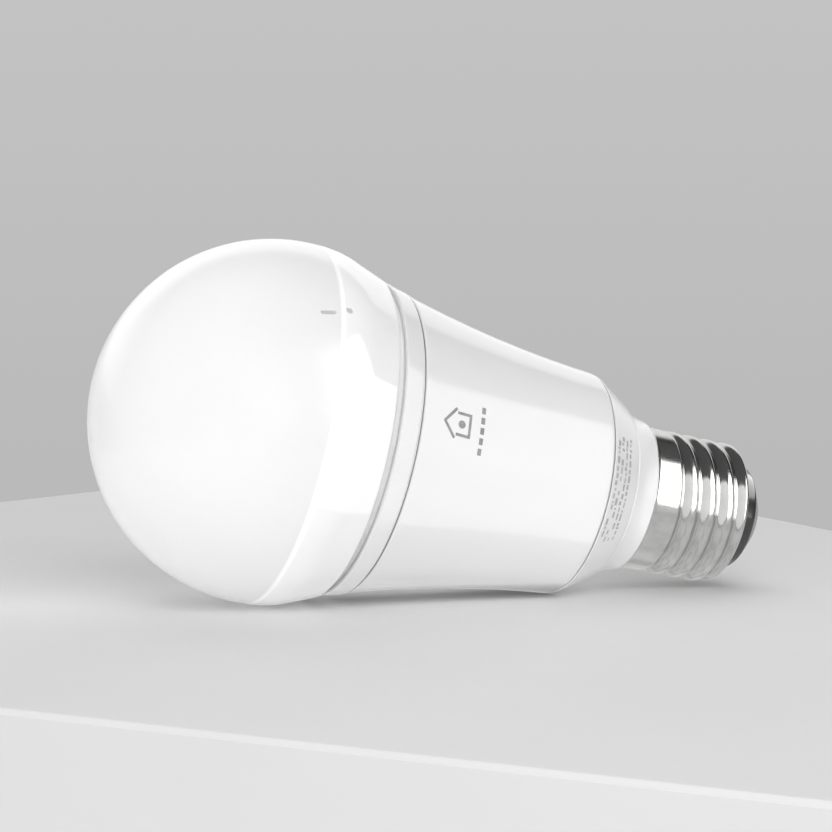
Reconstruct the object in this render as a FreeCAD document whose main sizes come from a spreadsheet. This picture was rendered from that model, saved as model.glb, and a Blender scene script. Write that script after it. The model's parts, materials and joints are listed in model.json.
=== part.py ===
"""A smart light bulb with an Edison screw cap, as separate parts in one frame.

Frame: millimetres, +Z along the lamp's axis from the cap towards the dome.
The origin is the centre of the contact face at the very end of the cap.
"""
import FreeCAD, Part
import math
import os
import Sketcher

Vector = FreeCAD.Vector
AXIS = Vector(0, 0, 1)

# Driving dimensions, in millimetres or degrees: name, value, what it is.
DRIVING = [
    ("lamp_length", 126.5, "contact face to the pole of the dome"),
    ("gap", 0.15, "assembly gap between two parts"),
    # Globe: a matte dome on a glossy rear half
    ("globe_radius", 31.75, "outside, at the widest place"),
    ("globe_wall", 1.6, "wall of the dome and of the rear globe"),
    ("seam_height", 93.5, "joint of the dome and the rear globe"),
    ("spigot_depth", 2.2, "how far the dome reaches into the rear globe"),
    ("spigot_inset", 0.8, "spigot's outside below the globe's outside"),
    ("seam_chamfer", 0.22, "bevel on both sides of the seam"),
    ("belly_radius", 17.5, "arc of the rear globe below the seam"),
    ("belly_height", 87.5, "where the arc runs into the cone"),
    ("belly_end_radius", 30.7, "outside radius there"),
    ("globe_foot_height", 82.3, "lower face of the rear globe"),
    ("globe_foot_radius", 28.8, "outside radius there"),
    ("globe_flange", 1.4, "thickness of the inward flange"),
    ("globe_mouth_radius", 24.9, "opening in the flange"),
    # Moulded assembly marks across the seam
    ("dash_angle", 52.2, "round the axis, from +X towards -Y"),
    ("dot_angle", 49.7, "round the axis, from +X towards -Y"),
    ("mark_depth", 0.35, "depth of the dash and of the dot"),
    ("dash_length", 2.6, "along the axis"),
    ("dash_height", 96.1, "middle of the dash"),
    ("dash_sweep", 1.2, "degrees"),
    ("dot_size", 1.2, "along the axis"),
    ("dot_height", 92.3, "middle of the dot"),
    ("dot_sweep", 2.8, "degrees"),
    # Trim ring between the globe and the housing
    ("trim_top", 80.8, "upper face"),
    ("trim_top_radius", 28.2, "outside"),
    ("trim_foot", 77.2, "lower face"),
    ("trim_foot_radius", 27.25, "outside"),
    ("trim_bore", 24.15, "inside"),
    ("trim_lip", 26.5, "radius of the upper lip that carries the gasket"),
    ("trim_spigot", 24.9, "radius of the lower lip inside the housing"),
    ("gasket_radius", 27.4, "outside of the globe gasket"),
    # Housing: a flared sleeve
    ("housing_top", 76.8, "upper rim"),
    ("housing_top_radius", 27.1, "outside"),
    ("housing_foot", 38.2, "lower rim"),
    ("housing_foot_radius", 20.4, "outside"),
    ("flare_radius", 220.0, "hollow arc of the outside"),
    ("housing_wall", 1.8, "measured level"),
    # Rear cover: the cone that carries the rating print
    ("cover_top_radius", 20.25, "outside, under the housing's rim"),
    ("cover_foot", 31.5, "lower face"),
    ("cover_foot_radius", 16.15, "outside"),
    ("cover_spigot_radius", 18.4, "inside the housing's rim"),
    ("cover_spigot_height", 2.9, "above the housing's rim"),
    # Neck collar between the rear cover and the screw shell
    ("collar_top", 31.25, "upper face"),
    ("collar_top_radius", 15.9, "outside"),
    ("collar_foot_radius", 13.85, "outside"),
    ("collar_hollow", 14.0, "hollow arc of the outside"),
    # Heat sink: an aluminium cup inside the housing
    ("sink_foot", 41.4, "lower rim"),
    ("sink_foot_radius", 18.7, "outside"),
    ("sink_shoulder", 75.2, "where it steps in for the trim ring"),
    ("sink_shoulder_radius", 24.65, "outside"),
    ("sink_wall", 1.6, "wall"),
    ("sink_top", 79.0, "seat of the LED board"),
    ("sink_plate", 2.2, "thickness of the seat"),
    ("cable_hole", 6.0, "radius of the hole through the seat and board"),
    # Driver cup: the insulating tube round the electronics
    ("cup_radius", 16.8, "outside of the tube"),
    ("cup_wall", 1.2, "wall"),
    ("cup_top", 74.0, "upper rim"),
    ("cup_shoulder", 36.2, "where the tube starts to narrow"),
    ("neck_radius", 12.9, "outside of the neck"),
    ("neck_height", 32.4, "top of the neck"),
    ("neck_bore", 10.7, "inside of the neck"),
    ("cup_foot", 10.4, "lower rim, inside the screw shell"),
    # Screw shell: 26 mm Edison screw, seven turns to the inch
    ("shell_rim", 26.2, "upper rim"),
    ("shell_radius", 13.1, "outside, plain skirt and thread crests"),
    ("shell_wall", 0.35, "sheet thickness"),
    ("shell_foot", 6.9, "lower end"),
    ("shell_foot_radius", 10.7, "outside, where the end turns in"),
    ("end_curl", 1.3, "height over which it turns in"),
    ("rim_flare", 0.3, "how far the upper rim turns out"),
    ("rim_bend", 0.8, "height over which it turns out"),
    ("thread_pitch", 3.629, "25.4 / 7"),
    ("thread_depth", 0.78, "crest to root"),
    ("thread_start", 21.6, "lower end of the plain skirt"),
    ("crest_height", 18.5, "a crest on the -Y side"),
    # Base insulator and centre contact
    ("insulator_radius", 10.55, "outside, under the shell's end"),
    ("insulator_waist", 4.2, "height where the cone turns in"),
    ("insulator_waist_radius", 9.6, "outside radius there"),
    ("insulator_foot", 1.75, "lowest face"),
    ("insulator_foot_radius", 6.0, "radius there"),
    ("contact_radius", 4.7, "centre contact"),
    ("contact_face_radius", 2.4, "its flat face"),
    ("contact_height", 2.5, "its rim"),
    ("rivet_radius", 1.5, "its stem"),
    ("rivet_height", 8.2, "top of the stem"),
    # Light engine
    ("pad_thickness", 0.5, "thermal pad"),
    ("board_thickness", 1.6, "LED board and driver board"),
    ("led_board_radius", 23.4, "outside"),
    ("screw_circle", 20.8, "board screws, round the axis"),
    ("screw_radius", 1.2, "shank"),
    ("screw_head_radius", 2.2, "head"),
    ("screw_head_height", 1.5, "head"),
    ("screw_length", 5.3, "shank below the board"),
    ("emitter_size", 3.0, "LED package, square"),
    ("emitter_height", 0.9, "LED package"),
    ("white_circle", 15.8, "ring of white LEDs"),
    ("colour_circle", 10.4, "ring of colour LEDs"),
    # Driver board
    ("driver_plane", 4.0, "middle of the board, from the axis towards -Y"),
    ("driver_width", 27.0, "upper part"),
    ("driver_tail_width", 17.0, "part inside the neck"),
    ("driver_foot", 18.0, "lower edge"),
    ("driver_shoulder", 37.5, "where it widens"),
    ("driver_top", 72.0, "upper edge"),
    ("wire_radius", 0.65, "lead wires with their insulation"),
    ("wire_bend", 2.0, "bend of a lead wire"),
]


class Size:
    """A length known both as a number and as the expression that binds it to the sheet."""

    def __init__(self, value, text):
        self.value = value
        self.text = text

    def joined(self, sign, other, value):
        return Size(value, f"({self.text} {sign} {as_size(other).text})")

    def __add__(self, other):
        return self.joined("+", other, self.value + as_size(other).value)

    def __sub__(self, other):
        return self.joined("-", other, self.value - as_size(other).value)

    def __mul__(self, other):
        return self.joined("*", other, self.value * as_size(other).value)

    def __truediv__(self, other):
        return self.joined("/", other, self.value / as_size(other).value)


def as_size(number):
    """A plain number as a Size; a Size as it is."""
    if isinstance(number, Size):
        return number
    return Size(float(number), repr(float(number)))


class Sizes:
    """The driving dimensions, each an attribute: size.globe_wall is a Size."""

    def __init__(self, document):
        sheet = document.addObject("Spreadsheet::Sheet", "Sizes")
        for row, (name, value, meaning) in enumerate(DRIVING, start=1):
            sheet.set(f"A{row}", meaning)
            sheet.set(f"B{row}", str(value))
            sheet.setAlias(f"B{row}", name)
            setattr(self, name, Size(float(value), f"Sizes.{name}"))
        document.recompute()


doc = FreeCAD.newDocument("smart_light_bulb")
size = Sizes(doc)
sub_parts = []


# ---------------------------------------------------------------- sketches and features

def bind(thing, path, length):
    """Ties a property to the sheet."""
    thing.setExpression(path, as_size(length).text)


def new_body(name):
    """A sub-part. Its Label is the name of its file."""
    body = doc.addObject("PartDesign::Body", name)
    body.Label = name
    body.AllowCompound = True
    body.Placement = FreeCAD.Placement()
    sub_parts.append(body)
    return body


def new_sketch(body, name, role="XZ_Plane", offset=0.0, turn=0.0):
    """A sketch on one of the body's origin planes, moved along the plane's normal by offset
    and turned by turn degrees about the sketch's vertical axis, from +X towards -Y."""
    sketch = body.newObject("Sketcher::SketchObject", f"{body.Name}_{name}")
    plane = next(item for item in body.Origin.OriginFeatures if item.Role == role)
    sketch.AttachmentSupport = [(plane, "")]
    sketch.MapMode = "FlatFace"
    rotation = FreeCAD.Rotation(Vector(0, -1, 0), as_size(turn).value)
    sketch.AttachmentOffset = FreeCAD.Placement(Vector(0, 0, as_size(offset).value), rotation)
    if isinstance(offset, Size):
        bind(sketch, "AttachmentOffset.Base.z", offset)
    return sketch


def pin_point(sketch, geometry, end, across, along):
    """Fixes one end of a line or arc at a place given by two sizes."""
    for kind, length, axis in (("DistanceX", across, -2), ("DistanceY", along, -1)):
        length = as_size(length)
        if length.value == 0.0:
            sketch.addConstraint(Sketcher.Constraint("PointOnObject", geometry, end, axis))
            continue
        index = sketch.addConstraint(
            Sketcher.Constraint(kind, -1, 1, geometry, end, length.value))
        bind(sketch, f"Constraints[{index}]", length)


def arc_between(start, finish, radius, bulge):
    """An arc and whether it runs backwards. A bulge of +1 lies left of start-to-finish."""
    chord = finish - start
    rise = math.sqrt(radius ** 2 - (chord.Length / 2) ** 2)
    left = Vector(-chord.y, chord.x, 0).normalize()
    centre = (start + finish) / 2 - left * (rise * bulge)
    first = math.atan2(start.y - centre.y, start.x - centre.x)
    last = math.atan2(finish.y - centre.y, finish.x - centre.x)
    backwards = bulge > 0
    if backwards:
        first, last = last, first
    return Part.ArcOfCircle(Part.Circle(centre, AXIS, radius), first, last), backwards


def draw(sketch, corners, closed=True):
    """A chain of lines and arcs through the corners. A corner is (across, along), or
    (across, along, radius, bulge) when an arc leads from it to the next corner."""
    places = [Vector(as_size(c[0]).value, as_size(c[1]).value, 0) for c in corners]
    count = len(corners) if closed else len(corners) - 1
    ends = []
    for index in range(count):
        start = places[index]
        finish = places[(index + 1) % len(places)]
        if len(corners[index]) == 2:
            geometry = sketch.addGeometry(Part.LineSegment(start, finish))
            ends.append((geometry, 1, 2))
            continue
        radius, bulge = corners[index][2:]
        arc, backwards = arc_between(start, finish, as_size(radius).value, bulge)
        geometry = sketch.addGeometry(arc)
        constraint = sketch.addConstraint(
            Sketcher.Constraint("Radius", geometry, as_size(radius).value))
        bind(sketch, f"Constraints[{constraint}]", radius)
        ends.append((geometry, 2, 1) if backwards else (geometry, 1, 2))
    for index, (geometry, near, far) in enumerate(ends):
        following = ends[(index + 1) % count]
        pin_point(sketch, geometry, near, *corners[index][:2])
        if closed or index + 1 < count:
            sketch.addConstraint(
                Sketcher.Constraint("Coincident", geometry, far, following[0], following[1]))
        else:
            pin_point(sketch, geometry, far, *corners[-1][:2])
    return sketch


def draw_circle(sketch, across, along, radius):
    """A circle about a pinned centre."""
    centre = Vector(as_size(across).value, as_size(along).value, 0)
    geometry = sketch.addGeometry(Part.Circle(centre, AXIS, as_size(radius).value))
    pin_point(sketch, geometry, 3, across, along)
    index = sketch.addConstraint(Sketcher.Constraint("Radius", geometry, as_size(radius).value))
    bind(sketch, f"Constraints[{index}]", radius)
    return sketch


def draw_box(sketch, middle, base, width, height):
    """A rectangle: middle across, lower edge, width and height."""
    left = as_size(middle) - as_size(width) / 2
    right = as_size(middle) + as_size(width) / 2
    top = as_size(base) + height
    return draw(sketch, [(left, base), (right, base), (right, top), (left, top)])


def turned(body, name, corners):
    """A Revolution of an outline of (radius, height) corners round the lamp's axis."""
    sketch = draw(new_sketch(body, f"{name}_outline"), corners)
    feature = body.newObject("PartDesign::Revolution", f"{body.Name}_{name}")
    feature.Profile = sketch
    feature.ReferenceAxis = (sketch, ["V_Axis"])
    feature.Angle = 360.0
    body.Tip = feature
    doc.recompute()
    return feature


def pad(body, name, sketch, length, reverse=False, midplane=False):
    """A Pad of a sketch."""
    feature = body.newObject("PartDesign::Pad", f"{body.Name}_{name}")
    feature.Profile = sketch
    bind(feature, "Length", length)
    feature.Reversed = reverse
    feature.Midplane = midplane
    body.Tip = feature
    doc.recompute()
    return feature


def pocket(body, name, sketch, length, reverse=False):
    """A Pocket of a sketch that has to take material away."""
    before = body.Shape.Volume
    feature = body.newObject("PartDesign::Pocket", f"{body.Name}_{name}")
    feature.Profile = sketch
    bind(feature, "Length", length)
    feature.Reversed = reverse
    body.Tip = feature
    doc.recompute()
    if body.Shape.Volume >= before:
        raise RuntimeError(f"{feature.Name} cuts nothing")
    return feature


def ring_of(body, feature, count):
    """Repeats a feature round the lamp's axis."""
    pattern = body.newObject("PartDesign::PolarPattern", f"{feature.Name}_ring")
    pattern.Originals = [feature]
    pattern.Axis = (feature.Profile[0], ["V_Axis" if is_upright(feature) else "N_Axis"])
    pattern.Angle = 360.0
    pattern.Occurrences = count
    body.Tip = pattern
    doc.recompute()
    return pattern


def is_upright(feature):
    """True for a feature whose sketch stands on the XZ plane."""
    return feature.Profile[0].AttachmentSupport[0][0].Role == "XZ_Plane"


def circle_edges(shape, radius, height):
    """Names of the edges that lie on one circle round the lamp's axis."""
    found = []
    for number, edge in enumerate(shape.Edges, start=1):
        if edge.Degenerated:
            continue
        points = edge.discretize(5)
        level = all(abs(point.z - height.value) < 1e-3 for point in points)
        if level and all(abs(math.hypot(point.x, point.y) - radius.value) < 1e-3 for point in points):
            found.append(f"Edge{number}")
    if not found:
        raise RuntimeError(f"no edge at radius {radius.value}, height {height.value}")
    return found


def dress(body, kind, name, amount, *circles):
    """A Fillet or Chamfer of the given (radius, height) circles."""
    base = body.Tip
    edges = [edge for place in circles for edge in circle_edges(base.Shape, *map(as_size, place))]
    feature = body.newObject(f"PartDesign::{kind}", f"{body.Name}_{name}")
    feature.Base = (base, edges)
    bind(feature, "Radius" if kind == "Fillet" else "Size", amount)
    body.Tip = feature
    doc.recompute()
    return feature


def moulded_mark(body, name, angle, radius, height, length, sweep):
    """A shallow sunk mark whose floor is at radius: sweep degrees wide, length along the axis."""
    sketch = new_sketch(body, f"{name}_outline", turn=angle)
    bind(sketch, "AttachmentOffset.Rotation.Angle", angle)
    draw_box(sketch, radius + 0.5, height - length / 2, 1.0, length)
    before = body.Shape.Volume
    feature = body.newObject("PartDesign::Groove", f"{body.Name}_{name}")
    feature.Profile = sketch
    feature.ReferenceAxis = (sketch, ["V_Axis"])
    feature.Midplane = True
    bind(feature, "Angle", sweep)
    body.Tip = feature
    doc.recompute()
    if body.Shape.Volume >= before:
        raise RuntimeError(f"{feature.Name} cuts nothing")


def block(name, middle, nearest, base, width, depth, height):
    """A body that is a box: middle in x, lowest y, lowest z, and its size in x, y and z."""
    body = new_body(name)
    sketch = new_sketch(body, "outline", "XY_Plane", as_size(base))
    draw_box(sketch, middle, nearest, width, depth)
    pad(body, "pad", sketch, height)
    return body


# ---------------------------------------------------------------- the globe

def make_dome():
    """Matte dome: a half sphere on a short belt, with a spigot that enters the rear globe."""
    body = new_body("dome_diffuser")
    outside = size.globe_radius
    inside = outside - size.globe_wall
    belt = size.lamp_length - outside
    spigot = outside - size.spigot_inset
    tip = size.seam_height - size.spigot_depth
    turned(body, "shell", [
        (outside, size.seam_height),
        (outside, belt, outside, -1),
        (0, size.lamp_length),
        (0, size.lamp_length - size.globe_wall, inside, 1),
        (inside, belt),
        (inside, tip),
        (spigot, tip),
        (spigot, size.seam_height),
    ])
    dress(body, "Chamfer", "seam_bevel", size.seam_chamfer, (outside, size.seam_height))
    moulded_mark(body, "dash", size.dash_angle, outside - size.mark_depth, size.dash_height,
                 size.dash_length, size.dash_sweep)


def make_rear_globe():
    """Glossy rear half of the globe: an arc, then a cone down to an inward flange."""
    body = new_body("rear_globe")
    wall = size.globe_wall
    rebate = size.globe_radius - size.spigot_inset + size.gap / 3
    shelf = size.seam_height - size.spigot_depth - size.gap
    shelf_radius = size.globe_radius - wall - size.gap
    foot = size.globe_foot_height
    turned(body, "shell", [
        (rebate, shelf),
        (rebate, size.seam_height),
        (size.globe_radius, size.seam_height, size.belly_radius, 1),
        (size.belly_end_radius, size.belly_height),
        (size.globe_foot_radius, foot),
        (size.globe_mouth_radius, foot),
        (size.globe_mouth_radius, foot + size.globe_flange),
        (size.globe_foot_radius - wall * 0.75, foot + size.globe_flange),
        (size.belly_end_radius - wall, size.belly_height, size.belly_radius - wall, -1),
        (shelf_radius, shelf),
    ])
    dress(body, "Chamfer", "seam_bevel", size.seam_chamfer, (size.globe_radius, size.seam_height))
    dress(body, "Fillet", "foot_round", 0.4, (size.globe_foot_radius, foot))
    moulded_mark(body, "dot", size.dot_angle, size.globe_radius - size.mark_depth,
                 size.dot_height, size.dot_size, size.dot_sweep)


def make_trim_ring():
    """White ring that holds the globe: a tapered band with a lip above and a spigot below."""
    body = new_body("trim_ring")
    lip_top = size.globe_foot_height - size.gap
    spigot_foot = size.sink_shoulder + size.gap * 2
    turned(body, "ring", [
        (size.trim_bore, spigot_foot),
        (size.trim_spigot, spigot_foot),
        (size.trim_spigot, size.trim_foot),
        (size.trim_foot_radius, size.trim_foot),
        (size.trim_top_radius, size.trim_top),
        (size.trim_lip, size.trim_top),
        (size.trim_lip, lip_top),
        (size.trim_bore, lip_top),
    ])
    dress(body, "Fillet", "rounds", 0.35,
          (size.trim_foot_radius, size.trim_foot), (size.trim_top_radius, size.trim_top))


def make_gasket():
    """Soft ring at the bottom of the shadow gap between the globe and the trim ring."""
    body = new_body("globe_gasket")
    turned(body, "ring", [
        (size.trim_lip + 0.05, size.trim_top),
        (size.gasket_radius, size.trim_top),
        (size.gasket_radius, size.globe_foot_height),
        (size.trim_lip + 0.05, size.globe_foot_height),
    ])


# ---------------------------------------------------------------- the body of the lamp

def make_housing():
    """Flared sleeve with a hollow outline."""
    body = new_body("housing")
    wall = size.housing_wall
    turned(body, "sleeve", [
        (size.housing_foot_radius, size.housing_foot, size.flare_radius, 1),
        (size.housing_top_radius, size.housing_top),
        (size.housing_top_radius - wall, size.housing_top, size.flare_radius + wall, -1),
        (size.housing_foot_radius - wall, size.housing_foot),
    ])
    dress(body, "Fillet", "top_round", 0.35, (size.housing_top_radius, size.housing_top))
    dress(body, "Fillet", "foot_round", 0.6, (size.housing_foot_radius, size.housing_foot))


def make_rear_cover():
    """Cone that closes the housing's rear, on a spigot."""
    body = new_body("rear_cover")
    top = size.housing_foot - size.gap
    spigot_top = size.housing_foot + size.cover_spigot_height
    bore = size.cup_radius + size.gap * 1.5
    neck_bore = size.neck_radius + size.gap
    turned(body, "cone", [
        (size.cover_foot_radius, size.cover_foot),
        (size.cover_top_radius, top),
        (size.cover_spigot_radius, top),
        (size.cover_spigot_radius, spigot_top),
        (bore, spigot_top),
        (bore, size.cup_shoulder - size.gap * 2),
        (neck_bore, size.neck_height - 0.5),
        (neck_bore, size.cover_foot),
    ])
    dress(body, "Fillet", "foot_round", 0.25, (size.cover_foot_radius, size.cover_foot))


def make_neck_collar():
    """White ring between the rear cover and the screw shell."""
    body = new_body("neck_collar")
    foot = size.shell_rim + size.gap
    bore = size.neck_radius + size.gap / 3
    turned(body, "ring", [
        (bore, foot),
        (size.collar_foot_radius, foot, size.collar_hollow, 1),
        (size.collar_top_radius, size.collar_top),
        (bore, size.collar_top),
    ])
    dress(body, "Fillet", "rounds", 0.25,
          (size.collar_top_radius, size.collar_top), (size.collar_foot_radius, foot))


def make_heat_sink():
    """Aluminium cup that carries the LED board on its seat and backs the housing."""
    body = new_body("heat_sink")
    wall = size.sink_wall
    neck = size.trim_bore - size.gap
    seat_foot = size.sink_top - size.sink_plate
    flare = size.flare_radius + size.housing_wall
    turned(body, "cup", [
        (size.sink_foot_radius, size.sink_foot, flare, 1),
        (size.sink_shoulder_radius, size.sink_shoulder),
        (neck, size.sink_shoulder),
        (neck, size.sink_top),
        (size.cable_hole, size.sink_top),
        (size.cable_hole, seat_foot),
        (neck - wall, seat_foot),
        (neck - wall, size.sink_shoulder - wall, flare + wall, -1),
        (size.sink_foot_radius - wall, size.sink_foot),
    ])
    holes = new_sketch(body, "screw_hole", "XY_Plane", size.sink_top)
    draw_circle(holes, size.screw_circle, 0, size.screw_radius + 0.05)
    hole = pocket(body, "hole", holes, size.sink_plate)
    ring_of(body, hole, 3)


def make_driver_cup():
    """Insulating tube with a neck that reaches down into the screw shell."""
    body = new_body("driver_cup")
    inside = size.cup_radius - size.cup_wall
    skirt_inside = size.shell_radius - size.shell_wall - size.gap
    root_inside = size.shell_radius - size.thread_depth - size.shell_wall - size.gap
    turned(body, "tube", [
        (size.cup_radius, size.cup_shoulder),
        (size.cup_radius, size.cup_top),
        (inside, size.cup_top),
        (inside, size.cup_shoulder + 0.5),
        (size.neck_bore, size.neck_height - 0.5),
        (size.neck_bore, size.cup_foot),
        (root_inside, size.cup_foot),
        (root_inside, size.thread_start + 0.5),
        (skirt_inside, size.thread_start + 0.5),
        (skirt_inside, size.shell_rim),
        (size.neck_radius, size.shell_rim),
        (size.neck_radius, size.neck_height),
    ])
    rail_reach = 3.1
    rail_thickness = 1.0
    rail_face = (size.driver_plane - size.board_thickness / 2 - size.gap) * -1
    rail_middle = size.driver_width / 2 + 0.9
    for name, side in (("left", -1), ("right", 1)):
        outline = new_sketch(body, f"{name}_rail_outline", "XY_Plane", size.cup_shoulder + 4)
        draw_box(outline, rail_middle * side, rail_face, rail_reach, rail_thickness)
        pad(body, f"{name}_rail", outline, size.cup_top - size.cup_shoulder - 8)


# ---------------------------------------------------------------- the screw cap

def sunk(distance, width):
    """0 at a distance of zero or less, 1 at width or more, smooth in between."""
    share = min(max(distance / width, 0.0), 1.0)
    return share * share * (3 - 2 * share)


def shell_outside(angle, height):
    """Radius of the rolled sheet's outside: a right-hand thread that fades into the skirt.
    The power makes its crests wider than its roots."""
    pitch = size.thread_pitch.value
    turn = math.tau * (height - size.crest_height.value) / pitch - (angle + math.pi / 2)
    fade = sunk(size.thread_start.value - height, pitch / 3)
    radius = size.shell_radius.value
    radius -= size.thread_depth.value * fade * ((1 - math.cos(turn)) / 2) ** 1.6
    from_end = min((height - size.shell_foot.value) / size.end_curl.value, 1.0)
    bare = radius - size.shell_foot_radius.value
    return radius - bare * (1 - math.sqrt(1 - (1 - from_end) ** 2))


def rolled_surface(inset, tuck):
    """One side of the threaded sheet, a spline that closes on itself, inset below the outside.
    Its top end enters the skirt's wall, and tuck moves it off the skirt's own surface there."""
    around = 48
    step = 0.27
    lap = 0.4
    low = size.shell_foot.value
    skirt_foot = size.thread_start.value
    span = skirt_foot + lap - low
    rows = round(span / step)
    heights = [low, low + step / 8, low + step / 3]
    heights += [low + span * row / rows for row in range(1, rows + 1)]
    # A cubic spline through points on a circle shrinks a little; this undoes it.
    swell = 3 / (2 + math.cos(math.tau / around))
    poles = []
    for number in range(around):
        angle = math.tau * number / around
        ring = []
        for height in heights:
            shift = inset + tuck * sunk(height - skirt_foot + lap * 2, lap)
            radius = (shell_outside(angle, height) - shift) * swell
            ring.append(Vector(radius * math.cos(angle), radius * math.sin(angle), height))
        poles.append(ring)
    degree = 3
    inner_knots = len(heights) - degree
    surface = Part.BSplineSurface()
    surface.buildFromPolesMultsKnots(
        poles,
        [1] * (around + 1),
        [degree + 1] + [1] * (inner_knots - 1) + [degree + 1],
        list(range(around + 1)),
        list(range(inner_knots + 1)),
        True, False, degree, degree)
    return surface.toShape()


def end_edge(face, end):
    """The closed edge of a rolled surface at its lower (min) or upper (max) end."""
    def middle_height(edge):
        return (edge.BoundBox.ZMin + edge.BoundBox.ZMax) / 2
    return end((edge for edge in face.Edges if edge.BoundBox.ZLength < 1e-3), key=middle_height)


def rolled_sheet():
    """The threaded part of the shell as a solid."""
    tuck = 0.01
    outer = rolled_surface(0.0, tuck)
    inner = rolled_surface(size.shell_wall.value, -tuck)
    faces = [outer, inner]
    for end in (min, max):
        rim, hole = (Part.Wire(end_edge(face, end)) for face in (outer, inner))
        hole.reverse()
        faces.append(Part.Face([rim, hole]))
    shell = Part.makeShell(faces)
    shell.sewShape()
    solid = Part.makeSolid(shell)
    if solid.Volume < 0:
        solid.reverse()
    return solid


def plain_skirt():
    """The top of the shell as a solid: a straight sleeve whose rim turns out along an arc."""
    radius = size.shell_radius.value
    wall = size.shell_wall.value
    foot = size.thread_start.value
    flare = size.rim_flare.value
    rise = size.rim_bend.value
    bend_foot = size.shell_rim.value - rise
    bend_radius = (rise ** 2 + flare ** 2) / (2 * flare)

    def on_bend(inset, share):
        up = rise * share
        across = radius + bend_radius - math.sqrt((bend_radius + inset) ** 2 - up ** 2)
        return Vector(across, 0, bend_foot + up)

    def bend(inset):
        return Part.Arc(*(on_bend(inset, share) for share in (0, 0.5, 1))).toShape()

    outline = Part.Wire([
        Part.makeLine(Vector(radius, 0, foot), on_bend(0, 0)),
        bend(0),
        Part.makeLine(on_bend(0, 1), on_bend(wall, 1)),
        bend(wall),
        Part.makeLine(on_bend(wall, 0), Vector(radius - wall, 0, foot)),
        Part.makeLine(Vector(radius - wall, 0, foot), Vector(radius, 0, foot)),
    ])
    return Part.Face(outline).revolve(Vector(), AXIS, 360)


def make_screw_shell():
    """Sheet-metal shell with its rolled thread, which no sketch-based feature gives."""
    feature = doc.addObject("Part::Feature", "screw_shell")
    feature.Label = "screw_shell"
    feature.Shape = plain_skirt().fuse(rolled_sheet())
    feature.Placement = FreeCAD.Placement()
    sub_parts.append(feature)


def make_base_insulator():
    """Black insulator between the shell's end and the centre contact."""
    body = new_body("base_insulator")
    flange = size.shell_foot - size.gap / 3
    plug = size.shell_foot_radius - size.shell_wall - size.gap
    plug_top = size.shell_foot + 1.7
    bore = size.rivet_radius + size.gap / 3
    seat = size.contact_height
    well = size.contact_radius + size.gap / 3
    turned(body, "cone", [
        (bore, seat),
        (well, seat),
        (well, size.insulator_foot),
        (size.insulator_foot_radius, size.insulator_foot),
        (size.insulator_waist_radius, size.insulator_waist),
        (size.insulator_radius, flange),
        (plug, flange),
        (plug, plug_top),
        (bore, plug_top),
    ])
    dress(body, "Fillet", "waist_round", 1.1, (size.insulator_waist_radius, size.insulator_waist))


def make_centre_contact():
    """Plated contact: a shallow button on a rivet stem."""
    body = new_body("centre_contact")
    turned(body, "button", [
        (0, 0),
        (size.contact_face_radius, 0),
        (size.contact_radius, size.contact_height * 0.6),
        (size.contact_radius, size.contact_height),
        (size.rivet_radius, size.contact_height),
        (size.rivet_radius, size.rivet_height),
        (0, size.rivet_height),
    ])
    dress(body, "Fillet", "face_round", 0.8, (size.contact_face_radius, as_size(0)))


# ---------------------------------------------------------------- the light engine

def disc(name, base, thickness, radius, bore, hole_radius):
    """A round sheet on the heat sink's seat, with the cable hole and three screw holes."""
    body = new_body(name)
    top = base + thickness
    turned(body, "disc", [(bore, base), (radius, base), (radius, top), (bore, top)])
    sketch = new_sketch(body, "screw_hole", "XY_Plane", top)
    draw_circle(sketch, size.screw_circle, 0, hole_radius)
    hole = pocket(body, "hole", sketch, thickness)
    ring_of(body, hole, 3)
    return body


def board_top():
    """Height of the LED board's upper face."""
    return size.sink_top + size.pad_thickness + size.board_thickness


def make_light_engine():
    """Thermal pad, LED board, reflector sheet, emitters and board screws."""
    pad_top = size.sink_top + size.pad_thickness
    radius = size.led_board_radius
    disc("thermal_pad", size.sink_top, size.pad_thickness, radius - 0.5, size.cable_hole,
         size.screw_radius + 0.3)
    disc("led_board", pad_top, size.board_thickness, radius, size.cable_hole,
         size.screw_radius + 0.1)
    sheet = disc("reflector_sheet", board_top(), as_size(0.4), radius, size.cable_hole + 1.0,
                 size.screw_head_radius + 0.3)
    clearance = size.emitter_size + 0.5
    for name, circle, count in (("white", size.white_circle, 12), ("colour", size.colour_circle, 8)):
        window = new_sketch(sheet, f"{name}_window_outline", "XY_Plane", board_top() + 0.4)
        draw_box(window, circle, clearance / -2, clearance, clearance)
        opening = pocket(sheet, f"{name}_window", window, as_size(0.4))
        ring_of(sheet, opening, count)
        body = new_body(f"{name}_emitters")
        outline = new_sketch(body, "outline", "XY_Plane", board_top())
        draw_box(outline, circle, size.emitter_size / -2, size.emitter_size, size.emitter_size)
        package = pad(body, "package", outline, size.emitter_height)
        ring_of(body, package, count)


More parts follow.
